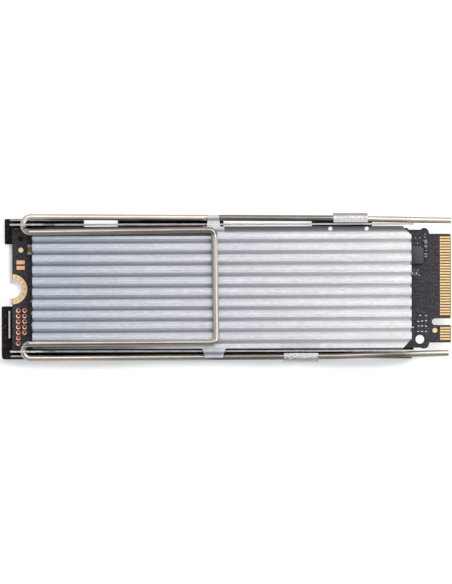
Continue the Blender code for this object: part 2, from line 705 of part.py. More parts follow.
def turn_points(side):
    """The wire's turn from the outer leg round to the loop, which climbs onto the heat sink."""
    radius = TURN_PITCH[side] / 2
    middle = side * (LEG_Y + TURN_SPLAY[side] - radius)
    points = []
    for i in range(TURN_STEPS + 1):
        angle = math.pi * i / TURN_STEPS
        share = max(2.0 * i / TURN_STEPS - 1.0, 0.0)
        climb = share * share * (3.0 - 2.0 * share)
        x = TURN_X + radius - radius * math.sin(angle)
        y = middle + side * radius * math.cos(angle)
        points.append((x, y, LEG_Z + (LOOP_Z - LEG_Z) * climb))
    return points


def corner_points(corner, before, after, radius, steps=6):
    """Points that round a corner between two neighbours, as a quadratic arc."""
    corner, before, after = Vector(corner), Vector(before), Vector(after)
    start = corner + (before - corner).normalized() * radius
    end = corner + (after - corner).normalized() * radius
    points = []
    for i in range(steps + 1):
        t = i / steps
        points.append(start * (1 - t) ** 2 + corner * 2 * t * (1 - t) + end * t * t)
    return [tuple(p) for p in points]


def clip_route():
    """The wire's middle line, from the +Y toe through both turns to the -Y toe."""
    bend_x = CONNECTOR_X - LEG_BEND_FROM_CONNECTOR
    bar_x = NOTCH_X + CROSSBAR_FROM_NOTCH
    route = {}
    ends = zip((1, -1), LEG_ENDS_SHORT_OF_BOARD, CROSSBAR_CORNERS)
    for side, short, spread in ends:
        turn = turn_points(side)
        corner = (bar_x - side * CROSSBAR_SKEW / 2, turn[-1][1] + side * spread, LOOP_Z)
        toe = (CONNECTOR_X - short, side * (LEG_Y - LEG_TOE_IN[side]), LEG_Z)
        bend = (bend_x, side * (LEG_Y + LEG_PLAY), LEG_Z)
        route[side] = ([toe, bend] + turn, corner)
    plus, plus_corner = route[1]
    minus, minus_corner = route[-1]
    points = list(plus)
    points += corner_points(plus_corner, plus[-1], minus_corner, CORNER_RADIUS)
    points += corner_points(minus_corner, plus_corner, minus[-1], CORNER_RADIUS)
    return points + list(reversed(minus))


def make_clip(finish):
    """One bent wire, on an empty that slides along X."""
    curve = bpy.data.curves.new("spring_clip", "CURVE")
    curve.dimensions = "3D"
    curve.bevel_depth = WIRE_RADIUS
    curve.bevel_resolution = WIRE_ROUNDNESS
    curve.use_fill_caps = True
    points = clip_route()
    slide = bpy.data.objects.new("clip_slide", None)
    slide.location = (NOTCH_X, 0.0, LEG_Z)
    bpy.data.collections[PARTS].objects.link(slide)
    spline = curve.splines.new("POLY")
    spline.points.add(len(points) - 1)
    for point, place in zip(spline.points, points):
        point.co = (*(Vector(place) - slide.location), 1.0)
    curve.materials.append(finish)
    clip = bpy.data.objects.new("spring_clip", curve)
    bpy.data.collections[PARTS].objects.link(clip)
    clip.parent = slide
    return clip


def make_pads(finish):
    low = (SINK_LEFT + LOWER_PAD_INSET, -BOARD_HALF + LOWER_PAD_INSET)
    high = (BASE_RIGHT - LOWER_PAD_INSET, BOARD_HALF - LOWER_PAD_INSET)
    base = LOWER_PAD_BASE
    outline = rounded_rectangle(low, high, PAD_CORNER)
    mesh = plate_mesh("lower_thermal_pad", [outline], base, base + LOWER_PAD_THICK)
    add_object("lower_thermal_pad", mesh, finish)
    half = BOARD_HALF - UPPER_PAD_SIDE_ROOM
    low = (SINK_LEFT + UPPER_PAD_INSET, BOARD_Y - half)
    high = (SINK_RIGHT - UPPER_PAD_INSET, BOARD_Y + half)
    base = UPPER_PAD_BASE
    outline = rounded_rectangle(low, high, PAD_CORNER)
    mesh = plate_mesh("upper_thermal_pad", [outline], base, base + UPPER_PAD_THICK)
    add_object("upper_thermal_pad", mesh, finish)


def make_components(finishes):
    """The soldered parts, from the notch end to the connector."""
    left = NOTCH_X + CHIPS_FROM_NOTCH
    right = CONNECTOR_X - CHIPS_FROM_CONNECTOR
    used = CONTROLLER_LENGTH + MEMORY_LENGTH + 3 * CHIP_SPACING
    flash_length = (right - left - used) / 2
    row = (
        ("flash_chip_left", flash_length, FLASH_SIDE_ROOM),
        ("flash_chip_right", flash_length, FLASH_SIDE_ROOM),
        ("memory_chip", MEMORY_LENGTH, CHIP_SIDE_ROOM),
        ("controller_chip", CONTROLLER_LENGTH, CHIP_SIDE_ROOM),
    )
    for name, length, side_room in row:
        size = (length, BOARD_WIDTH - 2 * side_room, CHIP_HEIGHT)
        make_chip(name, size, (left + length / 2, 0.0), finishes["mould"])
        left += length + CHIP_SPACING
    power_x = CONNECTOR_X - POWER_CHIP_FROM_CONNECTOR
    power_place = (power_x - POWER_CHIP[0] / 2, BOARD_HALF - POWER_CHIP_FROM_SIDE)
    make_chip("power_chip", POWER_CHIP, power_place, finishes["slate"])
    for i in range(COIL_COUNT):
        place = (right - COIL[0] / 2 - i * (COIL[0] + COIL_SPACING), SIDE_ROW_Y)
        make_chip(f"power_coil_{i + 1}", COIL, place, finishes["ferrite"], COIL_EDGE)
    place = (right - CONTROLLER_LENGTH - CHIP_SPACING, -SIDE_ROW_Y)
    make_chip("clock_crystal", CRYSTAL, place, finishes["tin"])
    for name, size, from_end, from_side in CAPACITORS:
        x = (NOTCH_X if from_end > 0 else CONNECTOR_X) + from_end
        y = (-BOARD_HALF if from_side > 0 else BOARD_HALF) + from_side
        finish = finishes["ceramic" if name == "end_capacitor" else "dark_ceramic"]
        make_capacitor(name, size, (x, y), finish)


def make_finishes():
    return {
        "steel": finish_of("sheet_steel", (0.60, 0.58, 0.56), 0.3, 1.0),
        "wire": finish_of("bright_wire", (0.62, 0.58, 0.54), 0.2, 1.0),
        "aluminium": finish_of("anodised_aluminium", (0.72, 0.73, 0.76), 0.42, 1.0),
        "foam": finish_of("black_foam", (0.02, 0.02, 0.02), 0.95),
        "pad": finish_of("grey_thermal_pad", (0.45, 0.47, 0.50), 0.8),
        "board": finish_of("black_board", (0.03, 0.03, 0.04), 0.5),
        "mould": finish_of("chip_mould", (0.03, 0.03, 0.03), 0.6),
        "slate": finish_of("slate_chip", (0.07, 0.08, 0.10), 0.5),
        "ferrite": finish_of("grey_ferrite", (0.12, 0.12, 0.13), 0.7),
        "tin": finish_of("tinned_lid", (0.65, 0.65, 0.66), 0.3, 1.0),
        "ceramic": finish_of("tan_ceramic", (0.45, 0.33, 0.22), 0.5),
        "dark_ceramic": finish_of("brown_ceramic", (0.16, 0.11, 0.08), 0.5),
    }


def main():
    clear_scene()
    make_collection(PARTS)
    make_collection(CUTTERS)
    finishes = make_finishes()
    make_foam(finishes["foam"])
    make_tray(finishes["steel"])
    make_cradle(finishes["steel"])
    make_pads(finishes["pad"])
    make_board(finishes["board"])
    make_components(finishes)
    make_heat_sink(finishes["aluminium"])
    make_clip(finishes["wire"])


main()
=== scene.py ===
# %% [markdown]
# # A gumstick solid state drive, dressed for the camera
# The packed model gives every solid its place and size, in metres. This file adds what a solid can't
# show: finishes, smooth curves, solder, plated holes and the soft foam. It never moves a solid.

import math

import bmesh
import bpy
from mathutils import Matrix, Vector


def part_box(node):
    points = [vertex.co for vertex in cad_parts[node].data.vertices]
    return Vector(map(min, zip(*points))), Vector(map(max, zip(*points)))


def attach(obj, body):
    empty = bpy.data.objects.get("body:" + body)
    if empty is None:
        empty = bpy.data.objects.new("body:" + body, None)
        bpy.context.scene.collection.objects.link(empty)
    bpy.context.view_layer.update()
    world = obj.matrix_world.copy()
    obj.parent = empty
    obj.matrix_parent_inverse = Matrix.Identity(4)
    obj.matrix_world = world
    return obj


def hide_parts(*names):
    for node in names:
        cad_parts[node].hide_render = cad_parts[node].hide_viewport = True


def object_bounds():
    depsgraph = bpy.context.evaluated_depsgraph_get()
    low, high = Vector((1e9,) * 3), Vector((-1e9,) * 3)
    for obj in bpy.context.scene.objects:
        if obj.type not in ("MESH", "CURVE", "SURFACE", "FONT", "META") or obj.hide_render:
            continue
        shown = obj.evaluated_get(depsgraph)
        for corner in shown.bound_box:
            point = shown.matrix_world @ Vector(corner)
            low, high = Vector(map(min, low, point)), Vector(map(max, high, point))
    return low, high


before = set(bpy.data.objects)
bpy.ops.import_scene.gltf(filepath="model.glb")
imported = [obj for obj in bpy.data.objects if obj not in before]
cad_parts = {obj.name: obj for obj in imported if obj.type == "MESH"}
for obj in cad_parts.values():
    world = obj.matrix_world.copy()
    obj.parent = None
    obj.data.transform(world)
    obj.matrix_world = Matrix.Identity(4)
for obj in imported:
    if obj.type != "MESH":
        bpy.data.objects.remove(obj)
cad_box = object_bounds()
MM = 0.001
print("the solid model measures", [round((b - a) / MM, 2) for a, b in zip(*cad_box)], "mm")

# %% [markdown]
# Operators act on whatever is selected, and loading leaves every solid selected. These short helpers
# start each piece from a clean selection and end it with its place held in its own mesh.

# %% Helpers for pieces
DRIVE, CLIP = "drive", "clip"


def start_clean():
    """Leaves edit mode and deselects all objects."""
    if bpy.context.object and bpy.context.object.mode == "EDIT":
        bpy.ops.object.mode_set(mode="OBJECT")
    bpy.ops.object.select_all(action="DESELECT")


def settle(name, material, body=DRIVE):
    """Names the active object, puts its place into its mesh, dresses it and lets it ride."""
    piece = bpy.context.object
    piece.name = name
    bpy.ops.object.transform_apply(location=True, rotation=True, scale=True)
    piece.data.materials.clear()
    piece.data.materials.append(material)
    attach(piece, body)
    return piece


def join_pieces(pieces):
    """Joins objects into the first of them, which becomes the active one."""
    start_clean()
    for piece in pieces:
        piece.select_set(True)
    bpy.context.view_layer.objects.active = pieces[0]
    bpy.ops.object.join()
    return bpy.context.object


def copy_of(piece, shift):
    """A copy with its own mesh, moved by a shift."""
    twin = piece.copy()
    twin.data = piece.data.copy()
    bpy.context.scene.collection.objects.link(twin)
    twin.location = Vector(piece.location) + Vector(shift)
    return twin


def merged_copy(node):
    """A copy of a solid with its loose triangles joined up, selected and active."""
    start_clean()
    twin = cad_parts[node].copy()
    twin.data = twin.data.copy()
    twin.parent = None
    for key in list(twin.keys()):
        del twin[key]
    bpy.context.scene.collection.objects.link(twin)
    shape = bmesh.new()
    shape.from_mesh(twin.data)
    bmesh.ops.remove_doubles(shape, verts=shape.verts, dist=1e-6)
    shape.to_mesh(twin.data)
    shape.free()
    twin.select_set(True)
    bpy.context.view_layer.objects.active = twin
    bpy.ops.object.mode_set(mode="EDIT")
    bpy.ops.mesh.select_all(action="SELECT")
    bpy.ops.mesh.customdata_custom_splitnormals_clear()
    bpy.ops.object.mode_set(mode="OBJECT")
    return twin


start_clean()
print("the solids are", sorted(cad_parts))

# %% [markdown]
# A material here is a Principled shader fed by patterns on Object coordinates. As every piece keeps its
# place in its mesh, those coordinates are the drive's own metres, so one pattern runs on from piece to
# piece and a mask can name a real place on the board.

# %% Helpers for materials
class Finish:
    """A Principled material with the few nodes that this file needs."""

    def __init__(self, name, color, roughness, metallic=0.0):
        self.material = bpy.data.materials.new(name)
        self.material.use_nodes = True
        self.tree = self.material.node_tree
        self.shader = self.tree.nodes["Principled BSDF"]
        self.shader.inputs["Base Color"].default_value = (*color, 1.0)
        self.shader.inputs["Roughness"].default_value = roughness
        self.shader.inputs["Metallic"].default_value = metallic
        self.place = self.add("ShaderNodeTexCoord").outputs["Object"]
        self.axes = None

    def add(self, kind):
        return self.tree.nodes.new(kind)

    def link(self, source, target):
        self.tree.links.new(source, target)

    def stretched(self, scale, turn=0.0):
        """Object coordinates multiplied by a scale for each axis, turned about Z."""
        mapping = self.add("ShaderNodeMapping")
        mapping.inputs["Scale"].default_value = scale
        mapping.inputs["Rotation"].default_value = (0.0, 0.0, turn)
        self.link(self.place, mapping.inputs["Vector"])
        return mapping.outputs["Vector"]

    def noise(self, scale, detail=3.0, vector=None):
        node = self.add("ShaderNodeTexNoise")
        node.inputs["Scale"].default_value = scale
        node.inputs["Detail"].default_value = detail
        self.link(vector or self.place, node.inputs["Vector"])
        return node.outputs["Fac"]

    def spots(self, scale, vector=None):
        """Distance to the nearest of many scattered points."""
        node = self.add("ShaderNodeTexVoronoi")
        node.inputs["Scale"].default_value = scale
        self.link(vector or self.place, node.inputs["Vector"])
        return node.outputs["Distance"]

    def math(self, operation, first, second=None):
        node = self.add("ShaderNodeMath")
        node.operation = operation
        for socket, value in zip(node.inputs, (first, second)):
            if value is None:
                continue
            if isinstance(value, (int, float)):
                socket.default_value = value
            else:
                self.link(value, socket)
        return node.outputs["Value"]

    def axis(self, letter):
        if self.axes is None:
            self.axes = self.add("ShaderNodeSeparateXYZ")
            self.link(self.place, self.axes.inputs["Vector"])
        return self.axes.outputs[letter]

    def spread(self, value, low, high, to_low=0.0, to_high=1.0):
        """Maps low..high to another range, held at its ends."""
        node = self.add("ShaderNodeMapRange")
        for name, number in zip(("From Min", "From Max", "To Min", "To Max"), (low, high, to_low, to_high)):
            node.inputs[name].default_value = number
        self.link(value, node.inputs["Value"])
        return node.outputs["Result"]

    def inside(self, letter, low, high):
        """1 where a coordinate lies between two places, else 0."""
        return self.between(self.axis(letter), low, high)

    def under(self, letter, limit):
        """1 where a coordinate is less than a limit, else 0."""
        return self.math("LESS_THAN", self.axis(letter), limit)

    def over(self, letter, limit):
        """1 where a coordinate is more than a limit, else 0."""
        return self.math("GREATER_THAN", self.axis(letter), limit)

    def opposite(self, mask):
        return self.math("SUBTRACT", 1.0, mask)

    def either(self, first, second):
        return self.math("MAXIMUM", first, second)

    def both(self, first, second):
        return self.math("MULTIPLY", first, second)

    def near(self, x, y, radius, faded):
        """1 within a radius of a place seen from above, falling to 0 at a wider one."""
        squares = []
        for letter, middle in (("X", x), ("Y", y)):
            away = self.math("SUBTRACT", self.axis(letter), middle)
            squares.append(self.both(away, away))
        return self.spread(self.math("ADD", *squares), radius * radius, faded * faded, 1.0, 0.0)

    def leaning(self, slope, x):
        """Y less a slope that starts at x, for bands that don't run quite along X."""
        rise = self.both(self.math("SUBTRACT", self.axis("X"), x), slope)
        return self.math("SUBTRACT", self.axis("Y"), rise)

    def between(self, value, low, high):
        """1 where a value lies between two numbers, else 0."""
        above = self.math("GREATER_THAN", value, low)
        return self.both(above, self.math("LESS_THAN", value, high))

    def off_whole(self, value):
        """Distance from the nearest whole number, for patterns that repeat."""
        part = self.math("FRACT", self.math("ADD", value, 0.5))
        return self.math("ABSOLUTE", self.math("SUBTRACT", part, 0.5))

    def ramp(self, value, stops):
        """A colour for each number from first to last, from pairs of number and colour."""
        first, last = stops[0][0], stops[-1][0]
        node = self.add("ShaderNodeValToRGB")
        self.link(self.spread(value, first, last), node.inputs["Fac"])
        elements = node.color_ramp.elements
        elements[0].color = (*stops[0][1], 1.0)
        elements[1].color = (*stops[-1][1], 1.0)
        for number, color in stops[1:-1]:
            elements.new((number - first) / (last - first)).color = (*color, 1.0)
        return node.outputs["Color"]

    def along(self, letter, stops):
        """A colour for each place along an axis, from pairs of millimetres and colour."""
        return self.ramp(self.axis(letter), [(place * MM, color) for place, color in stops])

    def mix(self, factor, first, second, blend="MIX"):
        """Mixes two colours, each given as numbers or as a socket."""
        node = self.add("ShaderNodeMix")
        node.data_type = "RGBA"
        node.blend_type = blend
        if isinstance(factor, (int, float)):
            node.inputs[0].default_value = factor
        else:
            self.link(factor, node.inputs[0])
        for socket, value in ((node.inputs[6], first), (node.inputs[7], second)):
            if isinstance(value, tuple):
                socket.default_value = (*value, 1.0)
            else:
                self.link(value, socket)
        return node.outputs[2]

    def times(self, first, second):
        """One colour multiplied by another."""
        return self.mix(1.0, first, second, "MULTIPLY")

    def into(self, name, source):
        self.link(source, self.shader.inputs[name])

    def bump(self, height, distance, strength=1.0):
        node = self.add("ShaderNodeBump")
        node.inputs["Distance"].default_value = distance
        node.inputs["Strength"].default_value = strength
        self.link(height, node.inputs["Height"])
        self.into("Normal", node.outputs["Normal"])


print("a finish has", len([name for name in vars(Finish) if not name.startswith("__")]), "helpers")

# %% [markdown]
# ## The camera
# The photo looks straight down from far away, so a long lens stands a metre above the drive. The board is
# 80 mm long and 438.8 pixels long in the photo, which sets the lens, and the drive lies a sixth of a degree
# off level, which turns the camera.

# %% Camera
PHOTO_WIDTH, PHOTO_HEIGHT = 452, 584
PIXELS_PER_MM = 5.4916
MIDDLE_X, MIDDLE_Y = 231.65, 287.6
CAMERA_HEIGHT = 1.0
LOOK_Z = 5 * MM
ROLL = -0.0028

camera_data = bpy.data.cameras.new("long_lens")
camera = bpy.data.objects.new("camera", camera_data)
bpy.context.scene.collection.objects.link(camera)
frame_height = PHOTO_HEIGHT / PIXELS_PER_MM * MM
camera_data.lens = camera_data.sensor_width * CAMERA_HEIGHT / frame_height
camera_data.clip_end = 10.0
camera.location = (
    (PHOTO_WIDTH / 2 - MIDDLE_X) / PIXELS_PER_MM * MM,
    (MIDDLE_Y - PHOTO_HEIGHT / 2) / PIXELS_PER_MM * MM,
    CAMERA_HEIGHT + LOOK_Z,
)
camera.rotation_euler = (0.0, 0.0, ROLL)
bpy.context.scene.camera = camera
bpy.context.scene.view_settings.view_transform = "Standard"
print("the lens is", round(camera_data.lens), "mm long")

# %% [markdown]
# ## Floor and light
# The drive lies on white paper, exposed a little over-bright, so only the thin shadow along its lower
# side still shows. The paper gets a glow that the camera alone sees, which lifts it to white. The lamps cast
# the shadow, and the glow also paints shade and light by place: it dips along the lower side to paint the
# shadow's width, dips by the board's left end to paint a shadow there, and rises in two soft spots to paint
# light under the screw notch and the through hole. Metal mirrors the room, so lamps are placed by what they
# do in a reflection: a wide box hangs low on the right, which makes the ridges brighter towards the
# contacts, and a second one behind the upper side draws the highlight along each wire.

# %% Floor
def grey(level):
    return (level, level, level)


def greys(stops):
    """Pairs of place and colour from pairs of place and grey level."""
    return [(place, grey(level)) for place, level in stops]


FLOOR_SIZE, FLOOR_DROP = 6.0, 0.05 * MM
start_clean()
bpy.ops.mesh.primitive_plane_add(size=FLOOR_SIZE, location=(0.0, 0.0, cad_box[0][2] - FLOOR_DROP))
floor = bpy.context.object
floor.name = "paper_floor"
paper = Finish("white_paper", (0.80, 0.80, 0.80), 0.9)
paper.into("Base Color", paper.mix(paper.noise(900.0), (0.79, 0.79, 0.79), (0.82, 0.82, 0.82)))
light_path = paper.add("ShaderNodeLightPath")
# Painted shadow: the glow dips along the lower side, so the shadow there is partly cast and partly painted,
# with a width that changes along X.
SHADOW_WIDTHS = (
    (-41, 0.75), (-37, 0.78), (-28, 0.95), (-22, 0.9), (-13, 0.66), (-2, 0.62), (6, 0.8), (12, 0.7),
    (20, 1.0), (26, 1.0), (31, 0.72), (34, 0.0), (42, 0.0),
)
width = paper.along("X", greys(SHADOW_WIDTHS))
SHADOW_SHIFT, SHADOW_GLOW = 0.8 * MM, 0.31
SHADOW_HEAD_Y, SHADOW_FOOT_Y = (-12.6 * MM, -12.2 * MM), (-14.5 * MM, -13.3 * MM)
shift = paper.spread(width, 0.0, 1.0, -SHADOW_SHIFT, SHADOW_SHIFT)
shifted = paper.math("ADD", paper.axis("Y"), shift)
upper = paper.spread(shifted, *SHADOW_HEAD_Y, 0.0, 0.22)
lower = paper.spread(shifted, *SHADOW_FOOT_Y, 0.33, 0.0)
glow = paper.math("ADD", paper.math("ADD", upper, lower), SHADOW_GLOW)
# Painted shadow: by the board's left end the glow dips close to the board's edge.
LEFT_PAINTED_SHADOW = (
    (-41.3, 0.70), (-40.84, 0.66), (-40.65, 0.48), (-40.47, 0.32), (-40.29, 0.26), (-40.0, 0.30),
    (-38.5, 0.55),
)
LEFT_X, LEFT_Y = -38.5 * MM, (-3.0 * MM, 8.0 * MM)
at_left = paper.both(paper.under("X", LEFT_X), paper.inside("Y", *LEFT_Y))
glow = paper.mix(at_left, glow, paper.along("X", greys(LEFT_PAINTED_SHADOW)))
# Painted light: two soft spots of stronger glow under the screw notch and the through hole.
NOTCH_PAINTED_LIGHT, HOLE_PAINTED_LIGHT = (-40.15 * MM, -0.55 * MM), (34.3 * MM, -9.4 * MM)
glow = paper.mix(paper.near(*NOTCH_PAINTED_LIGHT, 1.0 * MM, 1.5 * MM), glow, grey(0.80))
glow = paper.mix(paper.near(*HOLE_PAINTED_LIGHT, 0.95 * MM, 2.4 * MM), glow, grey(0.85))
paper.shader.inputs["Emission Color"].default_value = (1.0, 1.0, 1.0, 1.0)
paper.into("Emission Strength", paper.both(light_path.outputs["Is Camera Ray"], glow))
floor.data.materials.append(paper.material)
print("the floor lies at", round(floor.location.z / MM, 2), "mm")

# %% [markdown]
# A lamp's energy grows with its area, so each one here is given by how bright its face looks. A lamp can
# then be made wider, which softens its mirror image in the metal, without a change in brightness.

# %% Lamps and sky
def softbox(name, place, size, radiance, color=(1.0, 1.0, 1.0), aim=True):
    """A rectangular lamp of a given brightness, which points at the drive or straight down."""
    data = bpy.data.lights.new(name, "AREA")
    data.shape = "RECTANGLE"
    data.size, data.size_y = size
    data.energy = radiance * math.pi * size[0] * size[1]
    data.color = color
    lamp = bpy.data.objects.new(name, data)
    lamp.location = place
    if aim:
        lamp.rotation_euler = Vector(place).to_track_quat("Z", "Y").to_euler()
    bpy.context.scene.collection.objects.link(lamp)
    return lamp


softbox("right_box", (0.30, 0.05, 0.42), (0.46, 0.60), 1.6, (1.0, 0.99, 0.97), aim=False)
softbox("back_box", (0.0, 0.55, 0.75), (1.2, 0.72), 1.4)
world = bpy.data.worlds.new("studio")
bpy.context.scene.world = world
world.use_nodes = True
sky = world.node_tree.nodes["Background"]
sky.inputs["Color"].default_value = (0.90, 0.95, 1.0, 1.0)
sky.inputs["Strength"].default_value = 0.38

# %% [markdown]
# ## Bare metals
# Three metals meet here. The wire is bright nickel with fine drawing marks, the sheet is duller with
# rolling grain, and the heat sink is matte extruded aluminium with streaks along its length. A metal's
# grain goes into its roughness and bump. The wire also mirrors a room that isn't modelled, so each leg has
# levels along it, which darken it where the photo shows a dark room.

# %% Nickel wire
# Painted reflection: levels along X darken each leg and loop where it mirrors a dark stretch of the room.
UPPER_LEG = ((-41, 0.97), (-4.8, 0.97), (-3.4, 0.33), (18.2, 0.36), (19.6, 0.92), (41, 0.96))
LOWER_LEG = (
    (-41, 0.97), (-27, 1.0), (-20, 0.72), (-5, 0.60), (-3, 0.32), (9, 0.36), (11, 0.50), (25, 0.50),
    (28, 0.28), (31, 0.27), (33, 0.54), (41, 0.74),
)
UPPER_LOOP = ((-41, 0.74), (-30, 0.70), (-15, 0.52), (-4, 0.48))
LOWER_LOOP = ((-41, 0.74), (-30, 0.70), (-15, 0.62), (-4, 0.60))
wire = Finish("nickel_wire", (0.74, 0.62, 0.53), 0.2, 1.0)
marks = wire.noise(1.0, 4.0, wire.stretched((300.0, 9000.0, 9000.0)))
stains = wire.noise(180.0, 3.0)
plating_and_painted_reflection = wire.mix(wire.spread(stains, 0.35, 0.7), (0.80, 0.68, 0.585), (0.90, 0.81, 0.73))
LEG_INSIDE, LEG_OUTSIDE = 11.9 * MM, 14 * MM
LOOP_INSIDE, LOOP_OUTSIDE = 9.6 * MM, 11.2 * MM
for low, high, tones in (
    (LEG_INSIDE, LEG_OUTSIDE, UPPER_LEG), (-LEG_OUTSIDE, -LEG_INSIDE, LOWER_LEG),
    (LOOP_INSIDE, LOOP_OUTSIDE, UPPER_LOOP), (-LOOP_OUTSIDE, -LOOP_INSIDE, LOWER_LOOP),
):
    toned = wire.times(plating_and_painted_reflection, wire.along("X", greys(tones)))
    plating_and_painted_reflection = wire.mix(wire.inside("Y", low, high), plating_and_painted_reflection, toned)
# Painted reflection: light and dark bands across the crossbar stand for its highlights, and the bar is only
# 0.3 metallic so that they show.
BAR_PAINTED_REFLECTION = (
    (-3.62, 0.30), (-3.34, 0.38), (-3.17, 0.60), (-2.99, 0.40), (-2.83, 0.54), (-2.66, 0.72), (-2.46, 0.38),
)
BAR_TINT = (1.24, 1.13, 0.98)
bar_painted_reflection = wire.along("X", [(place, tuple(c * level for c in BAR_TINT)) for place, level in BAR_PAINTED_REFLECTION])
BAR_Y = (-9.3 * MM, 9.2 * MM)
on_bar = wire.inside("Y", *BAR_Y)
plating_and_painted_reflection = wire.mix(on_bar, plating_and_painted_reflection, bar_painted_reflection)
wire.into("Metallic", wire.spread(on_bar, 0.0, 1.0, 1.0, 0.3))
# Painted reflection: a dark line along the lower inner leg of the wire.
LINE_SLOPE, LINE_START, LINE_Y = 0.0103, -27.6 * MM, (-10.36 * MM, -10.18 * MM)
painted_dark_reflection = wire.between(wire.leaning(LINE_SLOPE, LINE_START), *LINE_Y)
wire.into("Base Color", wire.mix(wire.both(painted_dark_reflection, 0.6), plating_and_painted_reflection, (0.10, 0.08, 0.07)))
WORN_X = (-41 * MM, -5 * MM)
worn = wire.both(wire.inside("X", *WORN_X), wire.inside("Y", LEG_INSIDE, LEG_OUTSIDE))
wire.into("Roughness", wire.math("ADD", wire.spread(marks, 0.3, 0.7, 0.16, 0.28), wire.both(worn, 0.14)))
wire.bump(marks, 0.006 * MM, 0.5)
print("the wire has", len(UPPER_LEG) + len(LOWER_LEG), "levels along its legs")

# %% [markdown]
# The two sheets keep a narrow channel between them, and it is black from end to end. Here the steel in it is
# coloured near black and matte, up to a little below the bright cut edges, and so is the low floor of the
# lip at the left end. The hooks' curls are speckled, and the lower hook's curl is painted brighter than the
# upper one's, a painted difference of light between two like curls. The lip's face is painted near white, a
# painted highlight.

# %% Sheet steel
HOOK_CURL_Z = 6.4 * MM
BLACKENING_Y = (10.9 * MM, 12.33 * MM)
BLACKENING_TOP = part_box("cradle")[1].z - 2.25 * MM
sheet = Finish("rolled_sheet", (0.78, 0.76, 0.75), 0.3, 1.0)
grain = sheet.noise(1.0, 3.0, sheet.stretched((500.0, 6000.0, 6000.0)))
speckle = sheet.noise(5200.0, 2.0)
on_curl = sheet.over("Z", HOOK_CURL_Z)
# The channel's steel is coloured near black and matte, up to a little below the cut edges.
blackening = sheet.between(sheet.math("ABSOLUTE", sheet.axis("Y")), *BLACKENING_Y)
blackening = sheet.both(blackening, sheet.under("Z", BLACKENING_TOP))
# The low floor of the lip's plate at the left end is coloured near black too.
LIP_X, LIP_FLOOR_Z, LIP_Y = -39.9 * MM, 2.8 * MM, (-9.4 * MM, -4.0 * MM)
beyond = sheet.under("X", LIP_X)
blackening = sheet.either(blackening, sheet.both(beyond, sheet.under("Z", LIP_FLOOR_Z)))
dull = sheet.mix(sheet.spread(speckle, 0.38, 0.62), (0.44, 0.41, 0.41), (0.76, 0.73, 0.73))
# Painted light: the lower hook's curl gets a brighter range than the upper one's, over the same speckle.
pocked_painted_brighter = sheet.mix(sheet.spread(speckle, 0.40, 0.60), (0.46, 0.44, 0.44), (1.0, 0.97, 0.97))
dull = sheet.mix(sheet.under("Y", 0.0), dull, pocked_painted_brighter)
bright = sheet.mix(sheet.spread(grain, 0.3, 0.7), (0.72, 0.70, 0.68), (0.84, 0.82, 0.80))
# Painted highlight: the lip's face at the left end is painted near white.
bright = sheet.mix(sheet.both(beyond, sheet.inside("Y", *LIP_Y)), bright, (0.97, 0.96, 0.95))
sheet.into("Base Color", sheet.mix(blackening, sheet.mix(on_curl, bright, dull), (0.026, 0.023, 0.021)))
sheet.into("Metallic", sheet.opposite(blackening))
fine = sheet.spread(grain, 0.3, 0.7, 0.22, 0.36)
coarse = sheet.math("ADD", fine, sheet.both(on_curl, 0.18))
sheet.into("Roughness", sheet.either(coarse, sheet.both(blackening, 0.7)))
sheet.bump(speckle, 0.015 * MM, 0.35)
print("the film ends", round(BLACKENING_TOP / MM, 2), "mm above the ground")

# %% [markdown]
# The ridges carry a fine die line along their middle. It repeats with the ridges, so it is made from the
# distance across the drive, wrapped at the groove pitch. The left end mirrors a bluer and darker room than
# the right end, so the ridges also have tints along them.

# %% Ridged aluminium
GROOVE_PITCH = 2.03 * MM
GROOVES_Y = -0.7 * MM
alloy = Finish("ridged_aluminium", (0.84, 0.85, 0.88), 0.55, 1.0)
streaks = alloy.noise(1.0, 5.0, alloy.stretched((60.0, 5000.0, 5000.0)))
bloom = alloy.noise(260.0, 4.0)
dust = alloy.noise(4200.0, 2.0)
across = alloy.math("DIVIDE", alloy.math("SUBTRACT", alloy.axis("Y"), GROOVES_Y), GROOVE_PITCH)
wrapped = alloy.off_whole(across)
# Painted reflection: the tints along X stand for a bluer, darker room mirrored towards the left end.
RIDGE_TINTS = (
    (-38, (0.60, 0.64, 0.70)), (-9.4, (0.70, 0.70, 0.735)), (10.6, (0.745, 0.745, 0.77)),
    (32.3, (0.80, 0.79, 0.80)), (32.7, (0.78, 0.84, 0.93)),
)
ridge = alloy.along("X", RIDGE_TINTS)
grain_tone = alloy.mix(alloy.spread(streaks, 0.35, 0.65), (0.92, 0.92, 0.925), (1.08, 1.08, 1.075))
ridge = alloy.times(ridge, grain_tone)
frost = alloy.noise(1.0, 3.0, alloy.stretched((1100.0, 3600.0, 3600.0)))
frost_tone = alloy.mix(alloy.spread(frost, 0.35, 0.68), (0.93, 0.93, 0.935), (1.09, 1.09, 1.085))
ridge = alloy.times(ridge, frost_tone)
DIE_LINE, SIDE_LINES = (0.03, 0.07), (0.11, 0.15)
centre_tone = alloy.mix(alloy.spread(wrapped, *DIE_LINE, 1.0, 0.0), grey(1.0), grey(1.10))
ridge = alloy.times(ridge, centre_tone)
side_lines = alloy.both(alloy.between(wrapped, *SIDE_LINES), 0.5)
ridge = alloy.mix(side_lines, ridge, alloy.times(ridge, grey(0.90)))
print("a ridge every", GROOVE_PITCH / MM, "mm")

# %% [markdown]
# The grooves get painted shade, darkest across their middle, over a colour raised a little above the
# ridges', which paints light over the real shade of their walls. The heat sink lies a touch askew, so the
# painted shade leans a little across the grooves. The upper shoulder slopes away and is painted dark, a
# painted shade, and the lower edge is painted darker towards the left. The wire gets a painted shadow line
# beside it, the two rib dots are painted highlights, and the two tabs are painted darker, a painted shade,
# the lower one over a mottle.

